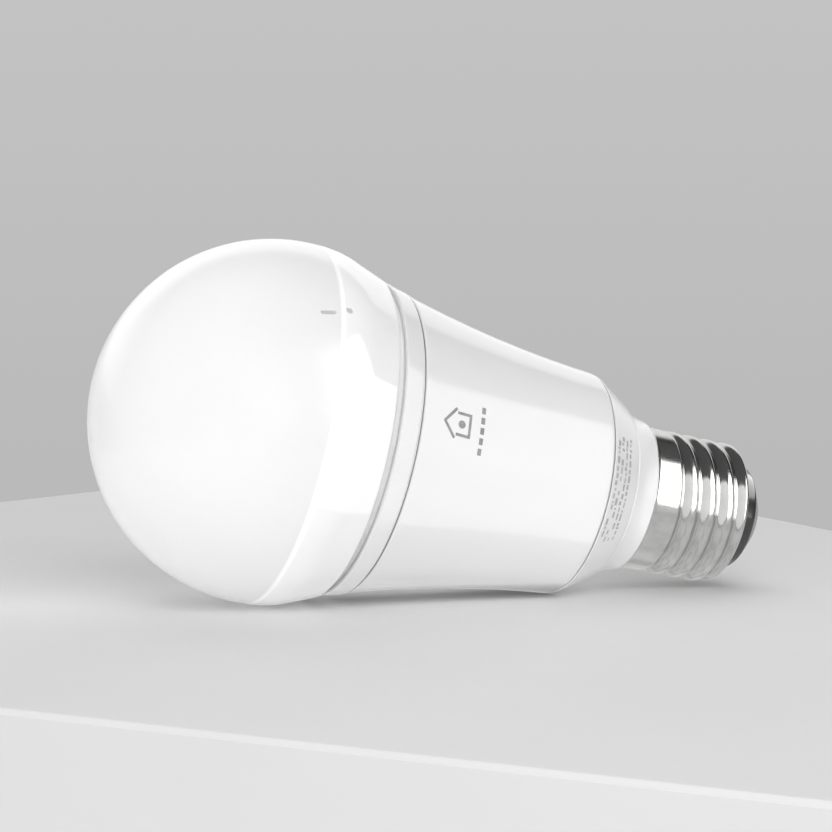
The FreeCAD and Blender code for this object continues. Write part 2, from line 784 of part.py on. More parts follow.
def make_board_screws():
    """Three pan-head screws through the LED board into the heat sink."""
    body = new_body("board_screws")
    seat = board_top()
    tip = seat - size.screw_length
    head = new_sketch(body, "head_outline", "XY_Plane", seat)
    draw_circle(head, size.screw_circle, 0, size.screw_head_radius)
    head_pad = pad(body, "head", head, size.screw_head_height)
    shank = new_sketch(body, "shank_outline", "XY_Plane", tip)
    draw_circle(shank, size.screw_circle, 0, size.screw_radius)
    shank_pad = pad(body, "shank", shank, size.screw_length)
    slot = new_sketch(body, "slot_outline", "XY_Plane", seat + size.screw_head_height)
    draw_box(slot, size.screw_circle, -0.25, size.screw_head_radius * 1.3, 0.5)
    slot_cut = pocket(body, "slot", slot, size.screw_head_height / 2)
    pattern = body.newObject("PartDesign::PolarPattern", "board_screws_ring")
    pattern.Originals = [head_pad, shank_pad, slot_cut]
    pattern.Axis = (head, ["N_Axis"])
    pattern.Angle = 360.0
    pattern.Occurrences = 3
    body.Tip = pattern
    doc.recompute()


# ---------------------------------------------------------------- the driver

def make_driver_board():
    """Upright board: wide in the cup, narrow in the neck."""
    body = new_body("driver_board")
    wide = size.driver_width / 2
    tail = size.driver_tail_width / 2
    outline = new_sketch(body, "outline", "XZ_Plane", size.driver_plane)
    draw(outline, [
        (tail * -1, size.driver_foot),
        (tail, size.driver_foot),
        (tail, size.driver_shoulder),
        (wide, size.driver_shoulder),
        (wide, size.driver_top),
        (wide * -1, size.driver_top),
        (wide * -1, size.driver_shoulder),
        (tail * -1, size.driver_shoulder),
    ])
    pad(body, "sheet", outline, size.board_thickness, midplane=True)


def front_face():
    """y of the driver board's component side."""
    return (size.driver_plane - size.board_thickness / 2) * -1


def back_face():
    """y of the driver board's solder side."""
    return (size.driver_plane + size.board_thickness / 2) * -1


def standing_can(name, across, base, radius, height, rim):
    """A round component that touches the board, its axis upright, with rounded ends."""
    body = new_body(name)
    outline = new_sketch(body, "outline", "XY_Plane", as_size(base))
    centre_y = front_face() + radius + size.gap / 3
    draw_circle(outline, across, centre_y, radius)
    can = pad(body, "can", outline, height)
    edges = [f"Edge{number}" for number, edge in enumerate(can.Shape.Edges, start=1)
             if isinstance(edge.Curve, Part.Circle)]
    feature = body.newObject("PartDesign::Fillet", f"{name}_rounds")
    feature.Base = (can, edges)
    bind(feature, "Radius", rim)
    body.Tip = feature
    doc.recompute()


def make_transformer():
    """Two-window ferrite core with its winding round the middle leg."""
    width, depth, height = as_size(15.0), as_size(9.0), as_size(13.5)
    base = size.driver_foot + 33.0
    leg = as_size(4.0)
    yoke = as_size(2.6)
    wall = as_size(2.2)
    core = new_body("transformer_core")
    outline = new_sketch(core, "outline", "XZ_Plane", (front_face() + 1.4) * -1)
    draw_box(outline, 0, base, width, height)
    pad(core, "block", outline, depth, reverse=True)
    window_width = (width - leg) / 2 - wall
    middle = (leg + window_width) / 2
    window = new_sketch(core, "window_outline", "XZ_Plane", (front_face() + 1.4) * -1)
    draw_box(window, middle, base + yoke, window_width, height - yoke * 2)
    opening = pocket(core, "window", window, depth, reverse=False)
    mirror = core.newObject("PartDesign::Mirrored", "transformer_core_windows")
    mirror.Originals = [opening]
    mirror.MirrorPlane = (window, ["V_Axis"])
    core.Tip = mirror
    doc.recompute()
    slack = size.gap
    coil = new_body("transformer_winding")
    coil_width = leg + window_width * 2 - slack * 2
    coil_depth = depth + 2.2
    ring = new_sketch(coil, "outline", "XY_Plane", base + yoke + slack)
    draw_box(ring, 0, front_face() + 0.3, coil_width, coil_depth)
    pad(coil, "turns", ring, height - yoke * 2 - slack * 2)
    bore = new_sketch(coil, "bore_outline", "XY_Plane", base + height - yoke - slack)
    draw_box(bore, 0, front_face() + 1.4 - slack, leg + slack * 2, depth + slack * 2)
    pocket(coil, "bore", bore, height - yoke * 2 - slack * 2)


def make_driver_parts():
    """The components on the driver board."""
    foot = size.driver_foot
    front = front_face()
    back = back_face()
    standing_can("bulk_capacitor", as_size(-6.4), foot + 20.5, as_size(4.9), 11.5, 0.5)
    standing_can("filter_choke", as_size(0.6), foot + 4.0, as_size(3.4), 9.0, 0.4)
    standing_can("fuse_resistor", as_size(-5.6), foot + 3.0, as_size(1.5), 8.5, 0.6)
    block("film_capacitor", 5.6, front, foot + 21.0, 11.0, 5.2, 9.5)
    block("bridge_rectifier", -5.5, back - 2.4, foot + 22.0, 6.4, 2.4, 4.8)
    block("driver_chip", 4.5, back - 1.6, foot + 34.0, 5.0, 1.6, 4.0)
    block("dimming_chip", -4.5, back - 1.6, foot + 42.0, 5.0, 1.6, 4.0)
    block("board_header", 0, front, foot + 48.5, 8.6, 2.5, 5.0)


def make_header_pins():
    """Four square pins from the driver board's header up through the LED board."""
    body = new_body("header_pins")
    pitch = 2.0
    thickness = 0.64
    base = size.driver_foot + 53.6
    top = board_top() + 1.2
    sketch = new_sketch(body, "outline", "XY_Plane", base)
    for number in range(4):
        draw_box(sketch, pitch * (number - 1.5), front_face() + 0.9, thickness, thickness)
    pad(body, "pins", sketch, top - base)


def make_radio():
    """Radio board that stands up through the cable hole, with its shield and antenna."""
    face = as_size(1.6)
    base = size.sink_top - 1.0
    thickness = as_size(1.0)
    front = face + thickness
    block("radio_board", 0, face, base, 9.6, thickness, 22.0)
    block("radio_shield", 0, front, base + 5, 8.4, 1.9, 8.6)
    body = new_body("antenna")
    left, right, foot, top, strip = -3.8, 3.8, base + 15, base + 21, 0.7
    outline = new_sketch(body, "outline", "XZ_Plane", front * -1)
    draw(outline, [
        (left, foot),
        (left + strip, foot),
        (left + strip, top - strip),
        (right, top - strip),
        (right, top),
        (left, top),
    ])
    pad(body, "strip", outline, 0.15, reverse=True)


# ---------------------------------------------------------------- the lead wires

def make_wire(name, role, offset, path, end):
    """A round lead wire along a path of (across, height) corners, ending on a level plane.
    The path is drawn on an upright plane; end is (x, y, height) of its upper end."""
    body = new_body(name)
    spine = draw(new_sketch(body, "path", role, offset), path, closed=False)
    section = new_sketch(body, "section", "XY_Plane", end[2])
    draw_circle(section, end[0], end[1], size.wire_radius)
    pipe = body.newObject("PartDesign::AdditivePipe", f"{name}_pipe")
    pipe.Profile = section
    pipe.Spine = (spine, [f"Edge{number + 1}" for number in range(len(path) - 1)])
    body.Tip = pipe
    doc.recompute()


def make_wires():
    """Live from the centre contact's rivet, neutral from the screw shell, both to the board."""
    bend = size.wire_bend
    top = size.driver_foot
    low = size.rivet_height
    step = low + 2.3
    plane = size.driver_plane
    make_wire("live_wire", "YZ_Plane", 0, [
        (plane * -1, top),
        (plane * -1, step + bend * 2, bend, -1),
        (bend * -1, step + bend, bend, 1),
        (0, step),
        (0, low),
    ], (0, plane * -1, top))
    across = as_size(7.0)
    level = size.cup_foot - 0.8
    shell_side = as_size(11.1)
    make_wire("neutral_wire", "XZ_Plane", plane, [
        (across, top),
        (across, level + bend, bend, -1),
        (across + bend, level),
        (shell_side, level),
    ], (across, plane * -1, top))


# ---------------------------------------------------------------- build, check, export

def broken(item):
    """What is wrong with an object, or an empty text."""
    if any(word in state for state in item.State for word in ("Invalid", "Error")):
        return f"{item.Name} is {item.State}"
    return ""


def check():
    """Stops the build if an object failed or a sub-part has no sound shape."""
    faults = [fault for fault in map(broken, doc.Objects) if fault]
    for part in sub_parts:
        if part.Shape.isNull() or not part.Shape.isValid() or part.Shape.Volume <= 0:
            faults.append(f"{part.Label} has no sound shape")
    if faults:
        raise RuntimeError("; ".join(faults))


def export():
    """Writes each sub-part to its own file."""
    os.makedirs("parts", exist_ok=True)
    for part in sub_parts:
        part.Shape.exportStep(os.path.join("parts", f"{part.Label}.step"))
        print(f"{part.Label}: {len(part.Shape.Solids)} solid(s), {part.Shape.Volume:.1f} mm3")


make_dome()
make_rear_globe()
make_trim_ring()
make_gasket()
make_housing()
make_rear_cover()
make_neck_collar()
make_heat_sink()
make_driver_cup()
make_screw_shell()
make_base_insulator()
make_centre_contact()
make_light_engine()
make_board_screws()
make_driver_board()
make_transformer()
make_driver_parts()
make_header_pins()
make_radio()
make_wires()
doc.recompute()
check()
export()
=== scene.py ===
"""Looks of the smart light bulb: visible skins, prints, materials, stage, lights and camera.

Sizes inside the script are millimetres; MM turns them into the scene's metres.
The lamp's axis is +Z, with the dome up and the contact face at the origin. It lies on a
plinth, so the plinth is tilted against that axis and the camera is rolled with it.
"""

import bmesh
import bpy
import json
import math
import random
from mathutils import Matrix, Vector


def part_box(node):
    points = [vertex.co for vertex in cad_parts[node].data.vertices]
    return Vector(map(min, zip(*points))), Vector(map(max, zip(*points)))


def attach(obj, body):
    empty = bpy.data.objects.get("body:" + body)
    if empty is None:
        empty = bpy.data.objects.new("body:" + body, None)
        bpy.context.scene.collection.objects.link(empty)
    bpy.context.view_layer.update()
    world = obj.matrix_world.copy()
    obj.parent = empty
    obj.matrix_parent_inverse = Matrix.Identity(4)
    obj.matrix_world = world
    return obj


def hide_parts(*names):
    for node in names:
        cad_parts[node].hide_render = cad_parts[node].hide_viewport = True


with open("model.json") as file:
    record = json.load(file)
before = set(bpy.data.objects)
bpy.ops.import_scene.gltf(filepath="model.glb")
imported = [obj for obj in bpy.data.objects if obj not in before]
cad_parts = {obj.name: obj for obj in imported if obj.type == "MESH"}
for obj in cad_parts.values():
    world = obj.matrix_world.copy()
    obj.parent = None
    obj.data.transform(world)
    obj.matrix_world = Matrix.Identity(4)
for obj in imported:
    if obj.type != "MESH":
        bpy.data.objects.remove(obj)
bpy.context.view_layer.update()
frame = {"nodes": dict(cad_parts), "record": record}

MM = 0.001
STEPS_AROUND = 256
RECORDED = {entry["slot"]: entry for entry in frame["record"]["materials"]}
NODE_SLOTS = {part["node"]: part["material_slot"] for part in frame["record"]["subparts"]}


# ---------------------------------------------------------------- sizes read from the frame

class Extent:
    """Foot, top and largest radius of a CAD node, in millimetres."""

    def __init__(self, node):
        low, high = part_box(node)
        self.foot = low.z / MM
        self.top = high.z / MM
        self.radius = high.x / MM


dome = Extent("dome_diffuser")
rear_globe = Extent("rear_globe")
gasket = Extent("globe_gasket")
trim = Extent("trim_ring")
housing = Extent("housing")
cover = Extent("rear_cover")
collar = Extent("neck_collar")
shell = Extent("screw_shell")
insulator = Extent("base_insulator")
contact = Extent("centre_contact")

LAMP_LENGTH = dome.top
GLOBE_RADIUS = dome.radius
GLOBE_WALL = 1.6
SPIGOT_INSET = 0.8
SEAM = rear_globe.top
BELT = LAMP_LENGTH - GLOBE_RADIUS
GAP = 0.15                  # between pieces that meet
ON_AXIS = 1e-6              # a radius below this counts as zero


# ---------------------------------------------------------------- outlines of turned parts

def arc(start, end, radius, bulge, steps):
    """Points (radius, height) on an arc from start to end. A bulge of +1 lies to its left."""
    a, b = Vector(start), Vector(end)
    chord = b - a
    rise = math.sqrt(radius ** 2 - (chord.length / 2) ** 2)
    left = Vector((-chord.y, chord.x)).normalized()
    centre = (a + b) / 2 - left * rise * bulge
    first, last = a - centre, b - centre
    turn = first.angle_signed(last)
    points = []
    for step in range(steps + 1):
        angle = -turn * step / steps
        spin = Matrix.Rotation(angle, 2)
        points.append(tuple(centre + spin @ first))
    return points


def rounded(corners, steps=5):
    """A run of corners (radius, height, rounding) with each rounding drawn as an arc."""
    points = []
    last = len(corners) - 1
    for index, (across, height, rounding) in enumerate(corners):
        here = Vector((across, height))
        if rounding == 0 or index in (0, last):
            points.append(tuple(here))
            continue
        before = (Vector(corners[index - 1][:2]) - here).normalized()
        after = (Vector(corners[index + 1][:2]) - here).normalized()
        half = before.angle(after) / 2
        reach = rounding / math.tan(half)
        middle = here + (before + after).normalized() * (rounding / math.sin(half))
        first = here + before * reach - middle
        turn = first.angle_signed(here + after * reach - middle)
        for step in range(steps + 1):
            spin = Matrix.Rotation(-turn * step / steps, 2)
            points.append(tuple(middle + spin @ first))
    return points


def subdivided(points, longest):
    """The same run of points with every stretch cut to at most longest."""
    result = [points[0]]
    for (r0, z0), (r1, z1) in zip(points, points[1:]):
        pieces = max(1, math.ceil(math.hypot(r1 - r0, z1 - z0) / longest))
        for piece in range(1, pieces + 1):
            share = piece / pieces
            result.append((r0 + (r1 - r0) * share, z0 + (z1 - z0) * share))
    return result


def evenly_around(count=STEPS_AROUND):
    return [math.tau * step / count for step in range(count)]


def refined_around(middle, half_width, fine, count=STEPS_AROUND):
    """Angles round the axis, evenly spaced but finer within half_width of middle."""
    coarse = [angle for angle in evenly_around(count)
              if abs(math.remainder(angle - middle, math.tau)) > half_width]
    dense = [(middle + half_width * (2 * step / fine - 1)) % math.tau for step in range(fine + 1)]
    return sorted(coarse + dense)


LARGE_FACE_WEIGHT = 80


def spun(name, rows, angles=None, closed=True, place=None):
    """A turned mesh in quads. rows are (radius, height); place(angle, row) may return another
    radius. An open run starts and ends on the axis."""
    angles = angles or evenly_around()
    mesh = bmesh.new()
    rings = []
    for row in rows:
        if row[0] < ON_AXIS and not closed:
            rings.append([mesh.verts.new((0, 0, row[1] * MM))])
            continue
        ring = []
        for angle in angles:
            radius = place(angle, row) if place else row[0]
            ring.append(mesh.verts.new((radius * math.cos(angle) * MM,
                                        radius * math.sin(angle) * MM, row[1] * MM)))
        rings.append(ring)
    if closed:
        rings.append(rings[0])
    around = len(angles)
    for lower, upper in zip(rings, rings[1:]):
        for step in range(around):
            after = (step + 1) % around
            if len(lower) == 1:
                mesh.faces.new((lower[0], upper[after], upper[step]))
            elif len(upper) == 1:
                mesh.faces.new((lower[step], lower[after], upper[0]))
            else:
                mesh.faces.new((lower[step], lower[after], upper[after], upper[step]))
    bmesh.ops.recalc_face_normals(mesh, faces=mesh.faces)
    return finished(name, mesh)


def finished(name, mesh, flat=False):
    """An object made from a bmesh, shaded smooth unless it is flat."""
    for face in mesh.faces:
        face.smooth = not flat
    data = bpy.data.meshes.new(name)
    mesh.to_mesh(data)
    mesh.free()
    item = bpy.data.objects.new(name, data)
    bpy.context.scene.collection.objects.link(item)
    return item


def install(item, node):
    """Puts a skin in place of a CAD node. Its shading follows its large faces most."""
    shading = item.modifiers.new("weighted_normals", "WEIGHTED_NORMAL")
    shading.weight = LARGE_FACE_WEIGHT
    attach(item, "root")
    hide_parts(node)
    item.data.materials.append(slot_material(NODE_SLOTS[node]))
    return item


# ---------------------------------------------------------------- materials

class Shader:
    """A node material under construction."""

    def __init__(self, name):
        self.material = bpy.data.materials.new(name)
        self.material.use_nodes = True
        self.tree = self.material.node_tree
        self.surface = self.tree.nodes["Principled BSDF"]
        place = self.tree.nodes.new("ShaderNodeTexCoord")
        self.place = place.outputs["Object"]

    def add(self, kind, **settings):
        node = self.tree.nodes.new(kind)
        for key, value in settings.items():
            setattr(node, key, value)
        return node

    def link(self, source, target):
        self.tree.links.new(source, target)

    def noise(self, size, detail=3.0, stretch=(1, 1, 1), roughness=0.5):
        """Noise whose features are about size millimetres."""
        scaled = self.add("ShaderNodeVectorMath", operation="MULTIPLY")
        scaled.inputs[1].default_value = stretch
        self.link(self.place, scaled.inputs[0])
        texture = self.add("ShaderNodeTexNoise")
        texture.inputs["Scale"].default_value = 1 / (size * MM)
        texture.inputs["Detail"].default_value = detail
        texture.inputs["Roughness"].default_value = roughness
        self.link(scaled.outputs[0], texture.inputs["Vector"])
        return texture.outputs["Fac"]

    def mapped(self, value, low, high, source_low=0.3, source_high=0.7):
        """A value rescaled from source_low..source_high to low..high."""
        node = self.add("ShaderNodeMapRange")
        self.link(value, node.inputs["Value"])
        node.inputs["From Min"].default_value = source_low
        node.inputs["From Max"].default_value = source_high
        node.inputs["To Min"].default_value = low
        node.inputs["To Max"].default_value = high
        return node.outputs["Result"]

    def mixed(self, share, first, second):
        """A colour between first and second, each a colour or another node's output."""
        node = self.add("ShaderNodeMix", data_type="RGBA")
        self.link(share, node.inputs["Factor"])
        for socket, colour in ((node.inputs[6], first), (node.inputs[7], second)):
            if isinstance(colour, (tuple, list)):
                socket.default_value = (*colour, 1)
            else:
                self.link(colour, socket)
        return node.outputs[2]

    def bump(self, height, depth, strength=1.0):
        """Makes height, 0 to 1, stand depth millimetres proud."""
        node = self.add("ShaderNodeBump")
        node.inputs["Strength"].default_value = strength
        node.inputs["Distance"].default_value = depth * MM
        self.link(height, node.inputs["Height"])
        self.link(node.outputs["Normal"], self.surface.inputs["Normal"])

    def axis_distance(self):
        """Distance from the lamp's axis, in millimetres."""
        parts = self.add("ShaderNodeSeparateXYZ")
        self.link(self.place, parts.inputs[0])
        flat = self.add("ShaderNodeCombineXYZ")
        self.link(parts.outputs["X"], flat.inputs["X"])
        self.link(parts.outputs["Y"], flat.inputs["Y"])
        length = self.add("ShaderNodeVectorMath", operation="LENGTH")
        self.link(flat.outputs[0], length.inputs[0])
        scaled = self.add("ShaderNodeMath", operation="MULTIPLY")
        scaled.inputs[1].default_value = 1 / MM
        self.link(length.outputs["Value"], scaled.inputs[0])
        return scaled.outputs[0]

    def nearness(self, reach):
        """1 where pieces closer than reach millimetres cover the surface, 0 in the open."""
        node = self.add("ShaderNodeAmbientOcclusion", samples=8)
        node.inputs["Distance"].default_value = reach * MM
        return self.mapped(node.outputs["AO"], 1, 0, source_low=0.15, source_high=0.75)

    def attribute(self, name):
        """A number noted on the points of the mesh; 0 where there is none."""
        return self.add("ShaderNodeAttribute", attribute_name=name).outputs["Fac"]


def darker(colour, share):
    return tuple(channel * share for channel in colour)


def grey(tone):
    return (tone, tone, tone)


# painted highlight: near-white tone laid along the seam where it catches light
SEAM_GLINT = grey(0.98)
# tone of the painted shade in the floor of the sunk marks
MARK_PAINTED_SHADE = grey(0.4)
# reach of the painted contact shade that near pieces put on a plastic's colour
CONTACT_SHADE_REACH = 3.5    # how near, in millimetres, a piece darkens another


def moulded_plastic(name, colour, roughness, grain=0.25, texture_depth=0.002, coat=0.0,
                    contact_shade=0.0):
    """Injection-moulded plastic: faint cloudiness, fine mould texture and uneven polish.
    Where another piece nearly touches it, painted shade makes it darker by the given share."""
    shader = Shader(name)
    surface = shader.surface
    cloud = shader.noise(14, detail=4)
    grit = shader.noise(grain, detail=5, roughness=0.6)
    polish = shader.noise(5, detail=6, roughness=0.65)
    shade = shader.mixed(shader.mapped(cloud, 0, 1), darker(colour, 0.975), colour)
    shade = shader.mixed(shader.mapped(grit, 0, 0.35), shade, darker(colour, 0.96))
    # painted highlight along the seam
    shade = shader.mixed(shader.attribute("edge"), shade, SEAM_GLINT)
    # painted shade: darker the deeper a point lies in a sunk mark
    shade = shader.mixed(shader.mapped(shader.attribute("painted_mark_shade"), 0, 0.7, 0, 1), shade, MARK_PAINTED_SHADE)
    # painted shade: darker where other pieces are near
    if contact_shade:
        shade = shader.mixed(shader.nearness(CONTACT_SHADE_REACH), shade, darker(colour, 1 - contact_shade))
    shader.link(shade, surface.inputs["Base Color"])
    shader.link(shader.mapped(polish, roughness * 0.85, roughness * 1.2),
                surface.inputs["Roughness"])
    surface.inputs["Coat Weight"].default_value = coat
    surface.inputs["Coat Roughness"].default_value = 0.03
    shader.bump(grit, texture_depth)
    return shader.material


def plated_metal(name, colour, roughness, recess=None, streaks=(1, 1, 14), spots=0.15):
    """Plated or turned metal: fine streaks round the axis, duller and darker in its recesses."""
    shader = Shader(name)
    surface = shader.surface
    surface.inputs["Metallic"].default_value = 1.0
    streak = shader.noise(1.6, detail=6, stretch=streaks, roughness=0.6)
    tarnish = shader.noise(4, detail=7, roughness=0.62)
    specks = shader.noise(0.35, detail=3)
    shade = shader.mixed(shader.mapped(tarnish, 0, 1, 0.42, 0.68), colour,
                         darker(colour, 1 - spots))
    shade = shader.mixed(shader.mapped(streak, 0, 0.5), shade, darker(colour, 0.93))
    if recess:
        crest, root = recess
        depth = shader.mapped(shader.axis_distance(), 0.0, 0.35, crest, root)
        shade = shader.mixed(depth, shade, darker(colour, 0.6))
    shader.link(shade, surface.inputs["Base Color"])
    uneven = shader.add("ShaderNodeMath", operation="ADD")
    shader.link(shader.mapped(streak, roughness * 0.7, roughness * 1.3), uneven.inputs[0])
    shader.link(shader.mapped(tarnish, 0.0, roughness * 0.5, 0.45, 0.7), uneven.inputs[1])
    shader.link(uneven.outputs[0], surface.inputs["Roughness"])
    joined = shader.add("ShaderNodeMath", operation="ADD")
    shader.link(streak, joined.inputs[0])
    shader.link(shader.mapped(specks, 0, 0.3), joined.inputs[1])
    shader.bump(joined.outputs[0], 0.004, 0.6)
    return shader.material


def soft_rubber(name, colour):
    """Matt rubber or silicone with a powdery, slightly pitted face."""
    shader = Shader(name)
    pits = shader.noise(0.4, detail=6, roughness=0.7)
    bloom = shader.noise(3, detail=5)
    shade = shader.mixed(shader.mapped(bloom, 0, 1), darker(colour, 0.9), colour)
    shader.link(shade, shader.surface.inputs["Base Color"])
    shader.link(shader.mapped(pits, 0.55, 0.8), shader.surface.inputs["Roughness"])
    shader.bump(pits, 0.03, 0.7)
    return shader.material


def solder_mask(name, colour):
    """Circuit board: lacquer over faint copper tracks, with the glass weave below."""
    shader = Shader(name)
    cells = shader.add("ShaderNodeTexVoronoi", feature="DISTANCE_TO_EDGE")
    cells.inputs["Scale"].default_value = 1 / (3.2 * MM)
    shader.link(shader.place, cells.inputs["Vector"])
    track = shader.mapped(cells.outputs["Distance"], 1, 0, 0.05, 0.09)
    weave = shader.add("ShaderNodeTexWave", wave_type="BANDS", bands_direction="DIAGONAL")
    weave.inputs["Scale"].default_value = 1 / (1.1 * MM)
    shader.link(shader.place, weave.inputs["Vector"])
    shade = shader.mixed(shader.mapped(weave.outputs["Fac"], 0, 0.3, 0, 1), colour,
                         darker(colour, 0.85))
    shade = shader.mixed(track, shade, tuple(min(1, channel * 1.35 + 0.02) for channel in colour))
    shader.link(shade, shader.surface.inputs["Base Color"])
    shader.link(shader.mapped(shader.noise(2), 0.22, 0.38), shader.surface.inputs["Roughness"])
    shader.bump(track, 0.035)
    return shader.material


def fired_ceramic(name, colour):
    """Sintered or cement-coated part with a granular face."""
    shader = Shader(name)
    grains = shader.add("ShaderNodeTexVoronoi")
    grains.inputs["Scale"].default_value = 1 / (0.35 * MM)
    shader.link(shader.place, grains.inputs["Vector"])
    cell = grains.outputs["Distance"]
    shade = shader.mixed(shader.mapped(cell, 0, 1, 0, 0.8), colour, darker(colour, 0.6))
    shader.link(shade, shader.surface.inputs["Base Color"])
    shader.link(shader.mapped(shader.noise(1.2), 0.45, 0.7), shader.surface.inputs["Roughness"])
    shader.bump(cell, 0.05, 0.8)
    return shader.material


def printed_ink(name, colour):
    """Pad-printed ink: not quite even, with tiny pinholes."""
    shader = Shader(name)
    holes = shader.noise(0.12, detail=4, roughness=0.7)
    cloud = shader.noise(1.5, detail=4)
    pale = tuple(0.5 + 0.5 * channel for channel in colour)
    shade = shader.mixed(shader.mapped(cloud, 0, 0.35), colour, pale)
    shade = shader.mixed(shader.mapped(holes, 0, 0.8, 0.6, 0.75), shade, pale)
    shader.link(shade, shader.surface.inputs["Base Color"])
    shader.link(shader.mapped(cloud, 0.35, 0.55), shader.surface.inputs["Roughness"])
    shader.bump(holes, 0.004, 0.5)
    return shader.material


RIM_FLARE = 0.3
CREST_RADIUS = shell.radius - RIM_FLARE
THREAD_DEPTH = 0.78
SLOT_LOOKS = {
    # record slot: how it is made, and what differs from the record or from the maker's own values
    "dome_polycarbonate": (moulded_plastic, {
        "colour": grey(0.81), "roughness": 0.21, "grain": 0.6, "texture_depth": 0.0006}),
    "globe_polycarbonate": (moulded_plastic, {
        "colour": grey(0.89), "roughness": 0.03, "texture_depth": 0.0003}),
    "trim_white": (moulded_plastic, {"colour": grey(0.76), "roughness": 0.12}),
    # the housing's colour carries painted contact shade near the plinth
    "housing_white": (moulded_plastic, {
        "colour": grey(0.78), "roughness": 0.11, "texture_depth": 0.001, "contact_shade": 0.6}),
    "cover_white": (moulded_plastic, {"colour": grey(0.81), "roughness": 0.2}),
    "insulator_black": (moulded_plastic, {"roughness": 0.18, "texture_depth": 0.006, "coat": 0.3}),
    "shell_nickel": (plated_metal, {
        "roughness": 0.14, "recess": (CREST_RADIUS, CREST_RADIUS - THREAD_DEPTH)}),
    "contact_tin": (plated_metal, {"roughness": 0.3, "streaks": (1, 1, 1)}),
    "sink_aluminium": (plated_metal, {"roughness": 0.38, "streaks": (1, 1, 3)}),
    "board_white": (solder_mask, {}),
    "board_green": (solder_mask, {}),
}
CLASS_LOOKS = {
    # material class: how the slots of that class are made that aren't listed above
    "matte_plastic": (moulded_plastic, {"roughness": 0.5, "texture_depth": 0.01}),
    "gloss_plastic": (moulded_plastic, {"roughness": 0.2}),
    "rubber": (soft_rubber, {}),
    "ceramic": (fired_ceramic, {}),
    "brass": (plated_metal, {"roughness": 0.25}),
    "brushed_steel": (plated_metal, {"roughness": 0.3, "streaks": (14, 1, 1)}),
}
MADE = {}


def slot_material(slot):
    """The material of a record slot, made the first time it is asked for."""
    if slot not in MADE:
        entry = RECORDED[slot]
        make, settings = SLOT_LOOKS.get(slot) or CLASS_LOOKS[entry["class"]]
        MADE[slot] = make(f"{slot}_look", **{"colour": tuple(entry["base_color"]), **settings})
    return MADE[slot]


# ---------------------------------------------------------------- globe

MARK_DEPTH = 0.2
MARK_EDGE = 0.3             # width of a mark's sloped side
MARK_ROW_STEP = 0.08        # mesh rows over a mark
MARK_SPREAD = 0.04          # half-width in radians of the mesh's fine stretch round a mark
MARK_COLUMNS = 34           # mesh columns in that stretch
SEAM_BEVEL_WIDTH, SEAM_BEVEL_DEPTH = 0.36, 0.03
SEAM_ROUNDING = 0.02
# reach of the painted highlight on either side of the seam
SEAM_GLINT_REACH = 1.6      # in bevel widths
OUTER_SIDE = GLOBE_RADIUS - GLOBE_WALL / 2


def smooth(share):
    """A share clamped to 0..1, with a gentle start and end."""
    share = min(max(share, 0.0), 1.0)
    return share * share * (3 - 2 * share)


class Mark:
    """A round-ended mark sunk into the globe. It leans by lean millimetres per millimetre."""

    def __init__(self, angle, height, width, length, lean=0.0):
        self.angle = angle
        self.height = height
        self.half_width = width / 2
        self.straight = (length - width) / 2
        self.lean = lean

    def depth(self, angle, height):
        """0 outside the mark, 1 at its floor."""
        along = height - self.height
        across = math.remainder(angle - self.angle, math.tau) * GLOBE_RADIUS + self.lean * along
        distance = math.hypot(across, max(abs(along) - self.straight, 0.0))
        return smooth((self.half_width - distance) / MARK_EDGE)

    def radius(self, angle, row):
        """A radius rule for spun() that sinks the mark into the outside of the globe."""
        radius, height = row
        if radius < OUTER_SIDE:
            return radius
        return radius - MARK_DEPTH * self.depth(angle, height)

    def paint_shading(self, item):
        """Notes on the item's points, for its material, how deep they lie in the mark, for painted
        shade, and how near they are to the seam (edge), for a painted highlight."""
        for name in ("painted_mark_shade", "edge"):
            item.data.attributes.new(name, "FLOAT", "POINT")
        painted_mark_shade = item.data.attributes["painted_mark_shade"].data
        edge = item.data.attributes["edge"].data
        for point, dark, light in zip(item.data.vertices, painted_mark_shade, edge):
            x, y, height = point.co / MM
            if math.hypot(x, y) > OUTER_SIDE:
                dark.value = self.depth(math.atan2(y, x), height)
                light.value = smooth(SEAM_GLINT_REACH - abs(height - SEAM) / SEAM_BEVEL_WIDTH)


DASH = Mark(math.radians(-52.2), height=96.1, width=1.15, length=2.9, lean=0.2)
DOT = Mark(math.radians(-49.7), height=92.3, width=1.5, length=1.5)


def fine_rows(points, middle, half_length):
    """The run of points with extra ones near a mark's height, on the outside only."""
    result = [points[0]]
    for start, end in zip(points, points[1:]):
        low, high = sorted((start[1], end[1]))
        near = high > middle - half_length and low < middle + half_length
        outside = min(start[0], end[0]) > OUTER_SIDE
        pieces = 1
        if near and outside:
            pieces = max(1, math.ceil((high - low) / MARK_ROW_STEP))
        for piece in range(1, pieces + 1):
            share = piece / pieces
            result.append((start[0] + (end[0] - start[0]) * share,
                           start[1] + (end[1] - start[1]) * share))
    return result


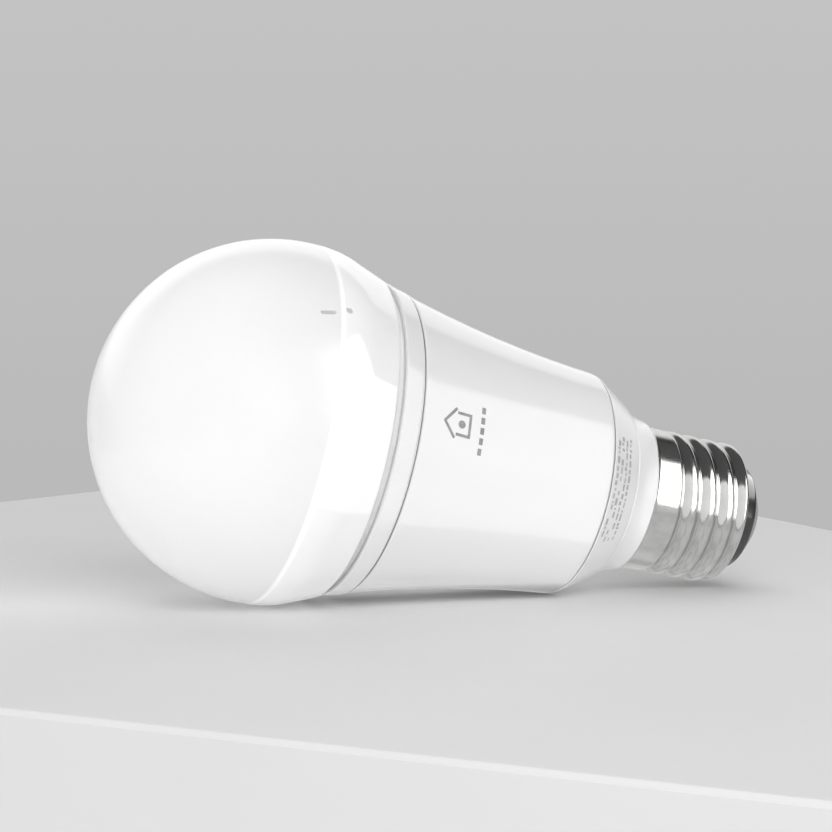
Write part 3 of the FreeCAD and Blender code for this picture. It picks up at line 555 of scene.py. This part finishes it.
def make_dome():
    """Matte dome with its belt, the bevel at the seam and the spigot inside the rear globe."""
    spigot = GLOBE_RADIUS - SPIGOT_INSET
    inside = GLOBE_RADIUS - GLOBE_WALL
    outer = arc((0, LAMP_LENGTH), (GLOBE_RADIUS, BELT), GLOBE_RADIUS, 1, 96)
    outer = outer[:-1] + rounded([
        (GLOBE_RADIUS, BELT, 0),
        (GLOBE_RADIUS, SEAM + SEAM_BEVEL_WIDTH, 0.1),
        (GLOBE_RADIUS - SEAM_BEVEL_DEPTH, SEAM, SEAM_ROUNDING),
        (spigot, SEAM, 0.1),
        (spigot, dome.foot, 0.2),
        (inside, dome.foot, 0.2),
        (inside, BELT, 0),
    ])
    inner = arc((inside, BELT), (0, LAMP_LENGTH - GLOBE_WALL), inside, -1, 48)
    rows = fine_rows(outer, DASH.height, half_length=2.2) + inner[1:]
    angles = refined_around(DASH.angle % math.tau, MARK_SPREAD, MARK_COLUMNS)
    item = spun("dome_skin", rows, angles, closed=False, place=DASH.radius)
    DASH.paint_shading(item)
    return install(item, "dome_diffuser")


def make_rear_globe():
    """Glossy rear half: an arc below the seam, a cone and an inward flange."""
    foot = rear_globe.foot
    foot_radius, belly_radius, belly_height, belly_arc = 28.8, 30.7, 87.5, 17.5
    rebate = GLOBE_RADIUS - SPIGOT_INSET + GAP / 3
    shelf = dome.foot - GAP
    shelf_radius = GLOBE_RADIUS - GLOBE_WALL - GAP
    flange_bore, flange_top = 24.9, foot + 1.4
    below_bevel = GLOBE_RADIUS - 0.004
    curve = arc((GLOBE_RADIUS, SEAM), (belly_radius, belly_height), belly_arc, 1, 40)
    curve = [point for point in curve if point[1] < SEAM - SEAM_BEVEL_WIDTH * 1.2]
    rows = rounded([
        (rebate, shelf, 0),
        (rebate, SEAM, 0.1),
        (GLOBE_RADIUS - SEAM_BEVEL_DEPTH, SEAM, SEAM_ROUNDING),
        (below_bevel, SEAM - SEAM_BEVEL_WIDTH, 0.1),
        (*curve[0], 0),
    ]) + curve[1:] + rounded([
        (belly_radius, belly_height, 0),
        (foot_radius, foot, 0.4),
        (flange_bore, foot, 0.2),
        (flange_bore, flange_top, 0.2),
        (foot_radius - 1.2, flange_top, 0),
    ])[1:] + arc((belly_radius - GLOBE_WALL, belly_height), (shelf_radius, shelf),
                 belly_arc - GLOBE_WALL, -1, 12)
    rows = fine_rows(rows, DOT.height, half_length=1.1)
    angles = refined_around(DOT.angle % math.tau, MARK_SPREAD, MARK_COLUMNS)
    item = spun("rear_globe_skin", rows, angles, place=DOT.radius)
    DOT.paint_shading(item)
    return install(item, "rear_globe")


def make_gasket():
    """Soft ring at the bottom of the shadow gap, with a half-round face."""
    inside = 26.55
    face = arc((gasket.radius, gasket.top), (gasket.radius, gasket.foot),
               (gasket.top - gasket.foot) * 0.75, 1, 12)
    shift = max(point[0] for point in face) - gasket.radius
    rows = [(inside, gasket.foot), (inside, gasket.top)]
    rows += [(point[0] - shift, point[1]) for point in face]
    return install(spun("gasket_skin", rows), "globe_gasket")


def make_trim_ring():
    """White band between globe and housing, with soft edges and a step under it that leaves
    a narrow groove above the housing."""
    band_top, band_foot, band_foot_radius = 80.8, 77.2, 27.25
    bore, spigot, lip = 24.15, 24.9, 26.5
    step, step_radius = housing.top + GAP / 2, 26.6
    rows = rounded([
        (bore, trim.top, 0),
        (bore, trim.foot, 0),
        (spigot, trim.foot, 0.1),
        (spigot, step, 0),
        (step_radius, step, 0.05),
        (step_radius, band_foot, 0),
        (band_foot_radius, band_foot, 0.35),
        (trim.radius, band_top, 0.35),
        (lip, band_top, 0),
        (lip, trim.top, 0.1),
        (bore, trim.top, 0),
    ])[:-1]
    return install(spun("trim_ring_skin", subdivided(rows, 1.0)), "trim_ring")


# ---------------------------------------------------------------- body

FLARE_RADIUS = 220.0
HOUSING_WALL = 1.8
HOUSING_FOOT_RADIUS = cover.radius + GAP
COVER_FOOT_RADIUS = 16.15
CONE_TOP = housing.foot - GAP


def make_housing():
    """Flared sleeve with a hollow outline and rounded rims."""
    foot_round, top_round = 0.6, 0.35
    outer = arc((HOUSING_FOOT_RADIUS, housing.foot), (housing.radius, housing.top),
                FLARE_RADIUS, 1, 60)
    inner = arc((housing.radius - HOUSING_WALL, housing.top),
                (HOUSING_FOOT_RADIUS - HOUSING_WALL, housing.foot),
                FLARE_RADIUS + HOUSING_WALL, -1, 30)
    first_kept, last_kept = 2, -3
    rows = rounded([
        (*inner[-1], 0),
        (*outer[0], foot_round),
        (*outer[first_kept], 0),
    ])[1:] + outer[first_kept + 1:last_kept] + rounded([
        (*outer[last_kept], 0),
        (*outer[-1], top_round),
        (*inner[0], 0),
    ]) + inner[1:]
    return install(spun("housing_skin", rows), "housing")


def make_rear_cover():
    """Cone that closes the housing, with the spigot inside it."""
    spigot_radius = 18.4
    neck_bore, neck_bore_top = 13.05, 31.9
    bore, bore_foot = 17.025, 35.9
    rows = rounded([
        (neck_bore, neck_bore_top, 0),
        (neck_bore, cover.foot, 0.15),
        (COVER_FOOT_RADIUS, cover.foot, 0.25),
        (cover.radius, CONE_TOP, 0.12),
        (spigot_radius, CONE_TOP, 0),
        (spigot_radius, cover.top, 0.2),
        (bore, cover.top, 0.2),
        (bore, bore_foot, 0),
        (neck_bore, neck_bore_top, 0),
    ])[:-1]
    return install(spun("rear_cover_skin", subdivided(rows, 1.2)), "rear_cover")


def make_neck_collar():
    """White ring with a hollow outline above the screw shell."""
    foot_radius, hollow_arc, bore = 13.85, 14.0, 12.95
    first_kept, last_kept = 2, -3
    curve = arc((foot_radius, collar.foot), (collar.radius, collar.top), hollow_arc, 1, 24)
    rows = rounded([
        (bore, collar.top, 0),
        (bore, collar.foot, 0.1),
        (foot_radius, collar.foot, 0.25),
        (*curve[first_kept], 0),
    ])[1:] + curve[first_kept + 1:last_kept] + rounded([
        (*curve[last_kept], 0),
        (*curve[-1], 0.25),
        (bore, collar.top, 0.1),
        (bore, (collar.top + collar.foot) / 2, 0),
    ])
    return install(spun("neck_collar_skin", rows), "neck_collar")


# ---------------------------------------------------------------- screw cap

THREAD_PITCH = 25.4 / 7
CREST_HEIGHT = 18.5         # of a crest on the -Y side
SKIRT_FOOT = 21.6           # the thread fades out below the plain skirt
ROOT_POWER = 1.6            # above 1 the crests are wider than the roots
RIM_BEND = 0.8              # height of the flared rim's bend
SHELL_WALL = 0.35
SHELL_FOOT_RADIUS = 10.7
END_CURL = 1.3              # height over which the end turns in


def shell_outside(angle, height):
    """Radius of the screw shell's outside at an angle and a height."""
    turn = math.tau * (height - CREST_HEIGHT) / THREAD_PITCH - (angle + math.pi / 2)
    fade = smooth((SKIRT_FOOT - height) / (THREAD_PITCH / 3))
    radius = CREST_RADIUS - THREAD_DEPTH * fade * ((1 - math.cos(turn)) / 2) ** ROOT_POWER
    above_bend = max(height - (shell.top - RIM_BEND), 0.0)
    bend_radius = (RIM_BEND ** 2 + RIM_FLARE ** 2) / (2 * RIM_FLARE)
    radius += bend_radius - math.sqrt(max(bend_radius ** 2 - above_bend ** 2, 0.0))
    from_end = min((height - shell.foot) / END_CURL, 1.0)
    return radius - (radius - SHELL_FOOT_RADIUS) * (1 - math.sqrt(1 - (1 - from_end) ** 2))


def make_screw_shell():
    """Rolled sheet shell: a row's first number is its depth below the outside."""
    step = 0.11
    span = shell.top - shell.foot
    near_end = [0.0, 0.02, 0.06, 0.12]
    heights = near_end + [step * row for row in range(2, round(span / step))] + [span - 0.04]
    edge = SHELL_WALL / 4
    rows = [(0.0, shell.foot + up) for up in heights]
    rows += [(edge, shell.top), (SHELL_WALL - edge, shell.top)]
    rows += [(SHELL_WALL, shell.foot + up) for up in reversed(heights)]

    def place(angle, row):
        return shell_outside(angle, row[1]) - row[0]

    return install(spun("screw_shell_skin", rows, place=place), "screw_shell")


CONTACT_RIM = 2.5


def make_insulator():
    """Black cone between the shell's end and the contact."""
    bore, well, foot_radius, plug = 1.55, 4.75, 6.0, 10.2
    waist, waist_radius, flange = 4.2, 9.6, 6.85
    seat = contact.foot + CONTACT_RIM
    rows = rounded([
        (bore, seat, 0),
        (well, seat, 0.1),
        (well, insulator.foot, 0.15),
        (foot_radius, insulator.foot, 0.4),
        (waist_radius, waist, 1.1),
        (insulator.radius, flange, 0.12),
        (plug, flange, 0.1),
        (plug, insulator.top, 0.2),
        (bore, insulator.top, 0),
        (bore, seat, 0),
    ], steps=6)[:-1]
    return install(spun("insulator_skin", subdivided(rows, 0.8)), "base_insulator")


def make_contact():
    """Plated button with a flat face, on its rivet stem."""
    face, stem = 2.4, 1.5
    rows = rounded([
        (0, contact.foot, 0),
        (face, contact.foot, 0.8),
        (contact.radius, CONTACT_RIM * 0.6, 0.3),
        (contact.radius, CONTACT_RIM, 0.2),
        (stem, CONTACT_RIM, 0),
        (stem, contact.top, 0.3),
        (0, contact.top, 0),
    ], steps=6)
    return install(spun("contact_skin", subdivided(rows, 0.6), closed=False), "centre_contact")


# ---------------------------------------------------------------- prints

INK_THICKNESS = 0.02
INK = printed_ink("ink_grey", grey(0.16))
WORN_INK = printed_ink("ink_worn", grey(0.36))


def housing_outside(height):
    """Radius of the housing's outline, which is an arc about a centre far outside it."""
    low = Vector((HOUSING_FOOT_RADIUS, housing.foot))
    high = Vector((housing.radius, housing.top))
    chord = high - low
    rise = math.sqrt(FLARE_RADIUS ** 2 - (chord.length / 2) ** 2)
    centre = (low + high) / 2 + Vector((chord.y, -chord.x)).normalized() * rise
    return centre.x - math.sqrt(FLARE_RADIUS ** 2 - (height - centre.y) ** 2)


def cover_outside(height):
    """Radius of the rear cover's cone."""
    share = (height - cover.foot) / (CONE_TOP - cover.foot)
    return COVER_FOOT_RADIUS + (cover.radius - COVER_FOOT_RADIUS) * share


def bar(length_across, length_along, middle=(0.0, 0.0), turn=0.0):
    """A grid of points over a bar, close enough together to bend with the surface."""
    longest = 0.5
    columns = max(1, math.ceil(length_across / longest))
    rows = max(1, math.ceil(length_along / longest))
    spin = Matrix.Rotation(turn, 2)
    grid = []
    for row in range(rows + 1):
        along = length_along * (row / rows - 0.5)
        line = [Vector((length_across * (column / columns - 0.5), along))
                for column in range(columns + 1)]
        grid.append([tuple(spin @ point + Vector(middle)) for point in line])
    return grid


def round_spot(radius, middle=(0.0, 0.0)):
    """A grid of points over a disc: rows that get narrower towards both ends."""
    rows, columns, last = 10, 6, math.radians(82)
    grid = []
    for row in range(rows + 1):
        angle = last * (2 * row / rows - 1)
        half = radius * math.cos(angle)
        grid.append([(middle[0] + half * (2 * column / columns - 1),
                      middle[1] + radius * math.sin(angle)) for column in range(columns + 1)])
    return grid


def printed_shape(mesh, grid, angle, height, outside):
    """A thin printed shape wrapped onto a turned surface. Each point of the grid is (across,
    along) in millimetres: across runs round the axis, along runs with the axis."""
    layers = []
    for lift in (-INK_THICKNESS, INK_THICKNESS):
        layer = []
        for line in grid:
            points = []
            for across, along in line:
                level = height + along
                radius = outside(level)
                turn = angle + across / radius
                radius += lift
                points.append(mesh.verts.new((radius * math.cos(turn) * MM,
                                              radius * math.sin(turn) * MM, level * MM)))
            layer.append(points)
        layers.append(layer)
    for layer in layers:
        for first, second in zip(layer, layer[1:]):
            for step in range(len(first) - 1):
                mesh.faces.new((first[step], first[step + 1], second[step + 1], second[step]))
    inner, outer = (rim_of(layer) for layer in layers)
    for step in range(len(inner)):
        after = (step + 1) % len(inner)
        mesh.faces.new((inner[step], inner[after], outer[after], outer[step]))


def rim_of(layer):
    """The points round the edge of a grid, in order."""
    right = [line[-1] for line in layer[1:-1]]
    left = [line[0] for line in layer[1:-1]]
    return layer[0] + right + list(reversed(layer[-1])) + list(reversed(left))


def print_piece(name, mesh, ink=INK):
    """The printed shapes of a mesh as one piece, which moves with the lamp."""
    bmesh.ops.recalc_face_normals(mesh, faces=mesh.faces)
    item = finished(name, mesh, flat=True)
    item.data.materials.append(ink)
    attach(item, "root")
    return item


EMBLEM_ANGLE = math.radians(-76.5)
EMBLEM_HEIGHT = 70.0
EMBLEM_SIZE = 5.0


def make_emblem():
    """Generic pictogram of a house with a dot in it. Its roof points towards the dome, and a
    hair of space keeps its walls from sharing edges with its floor."""
    mesh = bmesh.new()
    line, hair = 0.5, 0.01
    half = EMBLEM_SIZE / 2
    wall, eaves = half * 0.74, half * 0.15
    rise, run = half - eaves, half
    strokes = [
        bar(2 * wall + line, line, (0, -half)),
        round_spot(half * 0.28, (0, -half * 0.36)),
    ]
    for side in (-1, 1):
        strokes.append(bar(line, half + eaves - line - 2 * hair,
                           (side * wall, (eaves - half) / 2)))
        strokes.append(bar(math.hypot(rise, run) + line * 0.4, line,
                           (side * run / 2, (half + eaves) / 2), -side * math.atan2(rise, run)))
    for stroke in strokes:
        printed_shape(mesh, stroke, EMBLEM_ANGLE, EMBLEM_HEIGHT, housing_outside)
    return print_piece("print_emblem", mesh)


def make_dashes():
    """Five plain dashes below the pictogram."""
    mesh = bmesh.new()
    count, height = 5, 65.0
    first, last = math.radians(-68.5), math.radians(-85.5)
    dash = bar(1.15, 0.75)
    for number in range(count):
        angle = first + (last - first) * number / (count - 1)
        printed_shape(mesh, dash, angle, height, housing_outside)
    return print_piece("print_dashes", mesh)


def make_rating_print():
    """Worn rows of plain dashes of different lengths on the rear cover's cone."""
    rows = 4
    low, high = cover.foot + 2.4, housing.foot - 1.1
    start, end = math.radians(-118), math.radians(-58)
    lengths, widths, spaces = (0.35, 1.3), (0.28, 0.6), (0.2, 0.6)
    wander = 0.12
    kept_share = 0.85
    mesh = bmesh.new()
    random.seed(7)
    for row in range(rows):
        level = low + (high - low) * row / (rows - 1)
        radius = cover_outside(level)
        angle = start
        while angle < end:
            length = random.uniform(*lengths)
            angle += length / 2 / radius
            if random.random() < kept_share:
                height = level + random.uniform(-wander, wander)
                shape = bar(length, random.uniform(*widths))
                printed_shape(mesh, shape, angle, height, cover_outside)
            angle += (length / 2 + random.uniform(*spaces)) / radius
    return print_piece("print_rating", mesh, WORN_INK)


# ---------------------------------------------------------------- stage

def resting_tilt():
    """Angle between the lamp's axis and the plinth, which touches the globe and the rounded
    corner at the housing's foot."""
    corner_loss = 0.1
    down = BELT - housing.foot - corner_loss
    shoulder = HOUSING_FOOT_RADIUS - corner_loss
    return math.atan2(down, shoulder) - math.acos(GLOBE_RADIUS / math.hypot(shoulder, down))


TILT = resting_tilt()
TABLE_UP = Vector((math.cos(TILT), 0, math.sin(TILT)))
TABLE_ALONG = Vector((-math.sin(TILT), 0, math.cos(TILT)))
TABLE_LEVEL = -(GLOBE_RADIUS - BELT * math.sin(TILT))


def on_table(along, across, above=0.0):
    """A place on the plinth in metres: along the lamp, across it (+Y) and above the top."""
    return (TABLE_ALONG * along + Vector((0, across, 0)) + TABLE_UP * (TABLE_LEVEL + above)) * MM


def one_sided_paint(name, colour):
    """Matt white paint. Its back doesn't show, so the lamp can be looked at from below too."""
    shader = Shader(name)
    roller = shader.noise(1.2, detail=5, roughness=0.6)
    cloud = shader.noise(60, detail=3)
    shade = shader.mixed(shader.mapped(cloud, 0, 1), darker(colour, 0.97), colour)
    shader.link(shade, shader.surface.inputs["Base Color"])
    shader.link(shader.mapped(roller, 0.5, 0.65), shader.surface.inputs["Roughness"])
    shader.surface.inputs["Specular IOR Level"].default_value = 0.2
    shader.bump(roller, 0.01, 0.5)
    clear = shader.add("ShaderNodeBsdfTransparent")
    side = shader.add("ShaderNodeNewGeometry")
    choice = shader.add("ShaderNodeMixShader")
    output = shader.tree.nodes["Material Output"]
    shader.link(side.outputs["Backfacing"], choice.inputs[0])
    shader.link(shader.surface.outputs[0], choice.inputs[1])
    shader.link(clear.outputs[0], choice.inputs[2])
    shader.link(choice.outputs[0], output.inputs["Surface"])
    return shader.material


# corners of the plinth's top, as (along, across), named as the camera sees them
PLINTH_LEFT = Vector((286.0, 64.5))
PLINTH_BACK = Vector((-70.4, 374.6))
PLINTH_NEAR = Vector((-54.5, -337.0))
PLINTH_THICKNESS = 60.0
PLINTH_BEVEL = 0.8


def make_plinth():
    """Three-cornered plinth with a front that faces the camera. The front's upper edge is
    rounded: each row below the top is (shift outwards, drop)."""
    mesh = bmesh.new()
    corners = (PLINTH_LEFT, PLINTH_BACK, PLINTH_NEAR)
    top = [mesh.verts.new(on_table(*corner)) for corner in corners]
    mesh.faces.new(top)
    edge = (PLINTH_NEAR - PLINTH_LEFT).normalized()
    out = Vector((-edge.y, edge.x))
    bevel = PLINTH_BEVEL
    rows = [(bevel * 0.3, -bevel * 0.1), (bevel * 0.8, -bevel * 0.6), (bevel, -bevel),
            (bevel, -PLINTH_THICKNESS)]
    before = [top[0], top[2]]
    for shift, drop in rows:
        ends = [mesh.verts.new(on_table(*(end + out * shift), drop))
                for end in (PLINTH_LEFT, PLINTH_NEAR)]
        mesh.faces.new((before[0], before[1], ends[1], ends[0]))
        before = ends
    outwards = TABLE_ALONG * out.x + Vector((0, out.y, 0)) + TABLE_UP
    for face in mesh.faces:
        face.normal_update()
        if face.normal.dot(outwards) < 0:
            face.normal_flip()
    item = finished("plinth", mesh, flat=True)
    item.data.materials.append(one_sided_paint("plinth_paint", grey(0.81)))
    item.visible_glossy = False
    return item


# ---------------------------------------------------------------- view and light

VIEW_AZIMUTH, VIEW_ELEVATION = math.radians(-1.25), math.radians(19.255)
VIEW_DISTANCE = 425.6
VIEW_TARGET = Vector((6.2, 0.0, 68.9))
FOCAL_LENGTH, SENSOR_WIDTH = 103.85, 36.0
VIEW_BACK = Vector((math.sin(VIEW_AZIMUTH) * math.cos(VIEW_ELEVATION),
                    -math.cos(VIEW_AZIMUTH) * math.cos(VIEW_ELEVATION),
                    math.sin(VIEW_ELEVATION)))


def turned_towards(back, up):
    """A rotation whose local +Z is back and whose local +Y is as near up as can be."""
    right = up.cross(back).normalized()
    true_up = back.cross(right)
    return Matrix((right, true_up, back)).transposed().to_4x4()


def make_camera():
    """Camera at the photographed angle, rolled so that the plinth lies level."""
    lens = bpy.data.cameras.new("camera")
    lens.sensor_width = SENSOR_WIDTH
    lens.lens = FOCAL_LENGTH
    camera = bpy.data.objects.new("camera", lens)
    bpy.context.scene.collection.objects.link(camera)
    camera.matrix_world = (Matrix.Translation((VIEW_TARGET + VIEW_BACK * VIEW_DISTANCE) * MM)
                           @ turned_towards(VIEW_BACK, TABLE_UP))
    bpy.context.scene.camera = camera
    return camera


LEVEL_BACK = (VIEW_BACK - TABLE_UP * VIEW_BACK.dot(TABLE_UP)).normalized()
LEVEL_RIGHT = TABLE_UP.cross(LEVEL_BACK)
LAMP_MIDDLE = Vector((0, 0, LAMP_LENGTH / 2)) * MM


def towards(azimuth, elevation):
    """A direction from the lamp: azimuth 0 is the camera's side and 90 the picture's right."""
    flat = (LEVEL_BACK * math.cos(math.radians(azimuth))
            + LEVEL_RIGHT * math.sin(math.radians(azimuth)))
    up = math.radians(elevation)
    return flat * math.cos(up) + TABLE_UP * math.sin(up)


def area_light(name, width, height, radiance, place):
    """Rectangular light of even radiance that the camera doesn't see. Its width and height are
    in metres, and place is its matrix."""
    light = bpy.data.lights.new(name, "AREA")
    light.shape = "RECTANGLE"
    light.size = width
    light.size_y = height
    light.energy = radiance * math.pi * width * height
    item = bpy.data.objects.new(name, light)
    bpy.context.scene.collection.objects.link(item)
    item.matrix_world = place
    item.visible_camera = False
    return item


def make_panel(name, azimuth, width, low, high, radiance, distance=1.2):
    """Upright panel seen from the lamp between two elevations, width degrees wide. It shows
    in reflections only."""
    bottom = distance * math.tan(math.radians(low))
    top = distance * math.tan(math.radians(high))
    flat = towards(azimuth, 0)
    across = 2 * distance * math.tan(math.radians(width / 2))
    middle = LAMP_MIDDLE + flat * distance + TABLE_UP * (top + bottom) / 2
    place = Matrix.Translation(middle) @ turned_towards(flat, TABLE_UP)
    item = area_light(name, across, top - bottom, radiance, place)
    item.visible_diffuse = False
    return item


def make_soft_light(name, azimuth, elevation, size, radiance, distance=1.3):
    """Soft square light aimed at the lamp, not seen in reflections."""
    back = towards(azimuth, elevation)
    place = Matrix.Translation(LAMP_MIDDLE + back * distance) @ turned_towards(back, LEVEL_RIGHT)
    item = area_light(name, size, size, radiance, place)
    item.visible_glossy = False
    return item


def only_for(light, receivers):
    """Limits a light to some pieces, which are also the only ones that block it."""
    group = bpy.data.collections.new(f"{light.name}_receivers")
    for item in receivers:
        group.objects.link(item)
    light.light_linking.receiver_collection = group
    light.light_linking.blocker_collection = group


# tones of the world: what the camera sees behind the lamp, then what the lamp mirrors
BACKDROP_BELOW = (0.485, 0.49, 0.485, 1)
BACKDROP_ABOVE = (0.54, 0.545, 0.54, 1)
BACKDROP_FADE_START = 0.45  # share of the picture's height
SIDE_TONE, BACK_TONE, CEILING_TONE = 0.01, 0.65, 0.11
FLOOR_TONES = (0.64, 0.86)


def make_backdrop(tree, backdrop):
    """Gives the backdrop that the camera sees a plain grey, a little lighter at the top."""
    window = tree.nodes.new("ShaderNodeTexCoord")
    split = tree.nodes.new("ShaderNodeSeparateXYZ")
    tree.links.new(window.outputs["Window"], split.inputs[0])
    fade = tree.nodes.new("ShaderNodeValToRGB")
    below, above = fade.color_ramp.elements
    below.position, below.color = BACKDROP_FADE_START, BACKDROP_BELOW
    above.position, above.color = 1.0, BACKDROP_ABOVE
    tree.links.new(split.outputs["Y"], fade.inputs[0])
    tree.links.new(fade.outputs[0], backdrop.inputs["Color"])


def make_studio(tree, studio):
    """Gives the studio seen in reflections its walls, ceiling and a slightly patchy floor."""
    nodes, links = tree.nodes, tree.links
    ray = nodes.new("ShaderNodeTexCoord")

    def along(direction):
        """How far a ray points along a direction, -1 to 1."""
        dot = nodes.new("ShaderNodeVectorMath")
        dot.operation = "DOT_PRODUCT"
        links.new(ray.outputs["Generated"], dot.inputs[0])
        dot.inputs[1].default_value = direction
        return dot.outputs["Value"]

    def step(value, low, high):
        """0 below low, 1 above high."""
        node = nodes.new("ShaderNodeMapRange")
        node.interpolation_type = "SMOOTHSTEP"
        links.new(value, node.inputs["Value"])
        node.inputs["From Min"].default_value = low
        node.inputs["From Max"].default_value = high
        return node.outputs["Result"]

    def blend(share, below, above):
        """A number between below and above, each a number or another node's output."""
        node = nodes.new("ShaderNodeMix")
        links.new(share, node.inputs["Factor"])
        for socket, value in ((node.inputs[2], below), (node.inputs[3], above)):
            if isinstance(value, float):
                socket.default_value = value
            else:
                links.new(value, socket)
        return node.outputs[0]

    patches = nodes.new("ShaderNodeTexNoise")
    patches.inputs["Scale"].default_value = 3.0
    links.new(ray.outputs["Generated"], patches.inputs["Vector"])
    up = along(TABLE_UP)
    walls = blend(step(along(-LEVEL_BACK), 0.55, 0.8), SIDE_TONE, BACK_TONE)
    floor = blend(step(patches.outputs["Fac"], 0.4, 0.6), *FLOOR_TONES)
    above_floor = blend(step(up, -0.22, -0.12), floor, walls)
    tone = blend(step(up, 0.68, 0.78), above_floor, CEILING_TONE)
    links.new(tone, studio.inputs["Strength"])


def make_world():
    """World that shows the camera a plain backdrop and everything else the studio."""
    world = bpy.data.worlds.new("studio")
    bpy.context.scene.world = world
    world.use_nodes = True
    tree = world.node_tree
    backdrop = tree.nodes["Background"]
    make_backdrop(tree, backdrop)
    studio = tree.nodes.new("ShaderNodeBackground")
    make_studio(tree, studio)
    path = tree.nodes.new("ShaderNodeLightPath")
    choice = tree.nodes.new("ShaderNodeMixShader")
    tree.links.new(path.outputs["Is Camera Ray"], choice.inputs[0])
    tree.links.new(studio.outputs[0], choice.inputs[1])
    tree.links.new(backdrop.outputs[0], choice.inputs[2])
    tree.links.new(choice.outputs[0], tree.nodes["World Output"].inputs["Surface"])


# ---------------------------------------------------------------- everything together

globe_skins = [make_dome(), make_rear_globe()]
body_skins = [make_trim_ring(), make_housing(), make_rear_cover(), make_neck_collar()]
white_skins = globe_skins + body_skins
make_gasket()
insulator_skin = make_insulator()
metal_skins = [make_screw_shell(), make_contact()]
make_emblem()
make_dashes()
make_rating_print()

for node, item in frame["nodes"].items():
    for holder in item.material_slots:
        holder.material = slot_material(NODE_SLOTS[node])

make_plinth()
make_camera()
make_world()

reflected_panels = (
    # name, azimuth, width, low, high, radiance, pieces that show it (all when empty)
    ("side_panel", 63, 50, -9, 47, 2.7, ()),
    ("side_panel_low", 63, 50, -55, -9, 1.7, body_skins),
    ("side_panel_low_globe", 63, 50, -48, -9, 1.7, globe_skins),
    ("rim_panel", 180, 130, 12, 44, 0.85, white_skins),
    ("rim_panel_metal", 180, 130, 12, 44, 0.4, metal_skins),
    ("front_card", -10, 90, -9, 52, 1.0, metal_skins),
    ("tip_panel", 115, 60, 15, 60, 4.0, [insulator_skin]),
)
for *shape, receivers in reflected_panels:
    panel = make_panel(*shape)
    if receivers:
        only_for(panel, receivers)

soft_lights = (
    # name, azimuth, elevation, size, radiance, pieces that it lights (all when empty)
    ("front_fill", 15, 22, 1.3, 3.4, ()),
    ("left_fill", -60, 12, 1.3, 0.7, ()),
    ("top_light", 0, 88, 1.6, 0.65, ()),
    ("back_light", 180, 50, 1.3, 1.07, ()),
    # what a white room would send back to the lamp
    ("wrap_back_left", -115, 15, 1.3, 1.3, white_skins),
    ("wrap_left", -90, 30, 1.3, 0.65, white_skins),
    ("bounce_back_left", -115, -30, 1.3, 0.6, white_skins),
    ("bounce_below", 0, -70, 1.3, 0.24, white_skins),
    ("bounce_left", -60, -40, 1.3, 0.7, white_skins),
)
for *shape, receivers in soft_lights:
    soft_light = make_soft_light(*shape)
    if receivers:
        only_for(soft_light, receivers)

bpy.context.scene.view_settings.view_transform = "Standard"
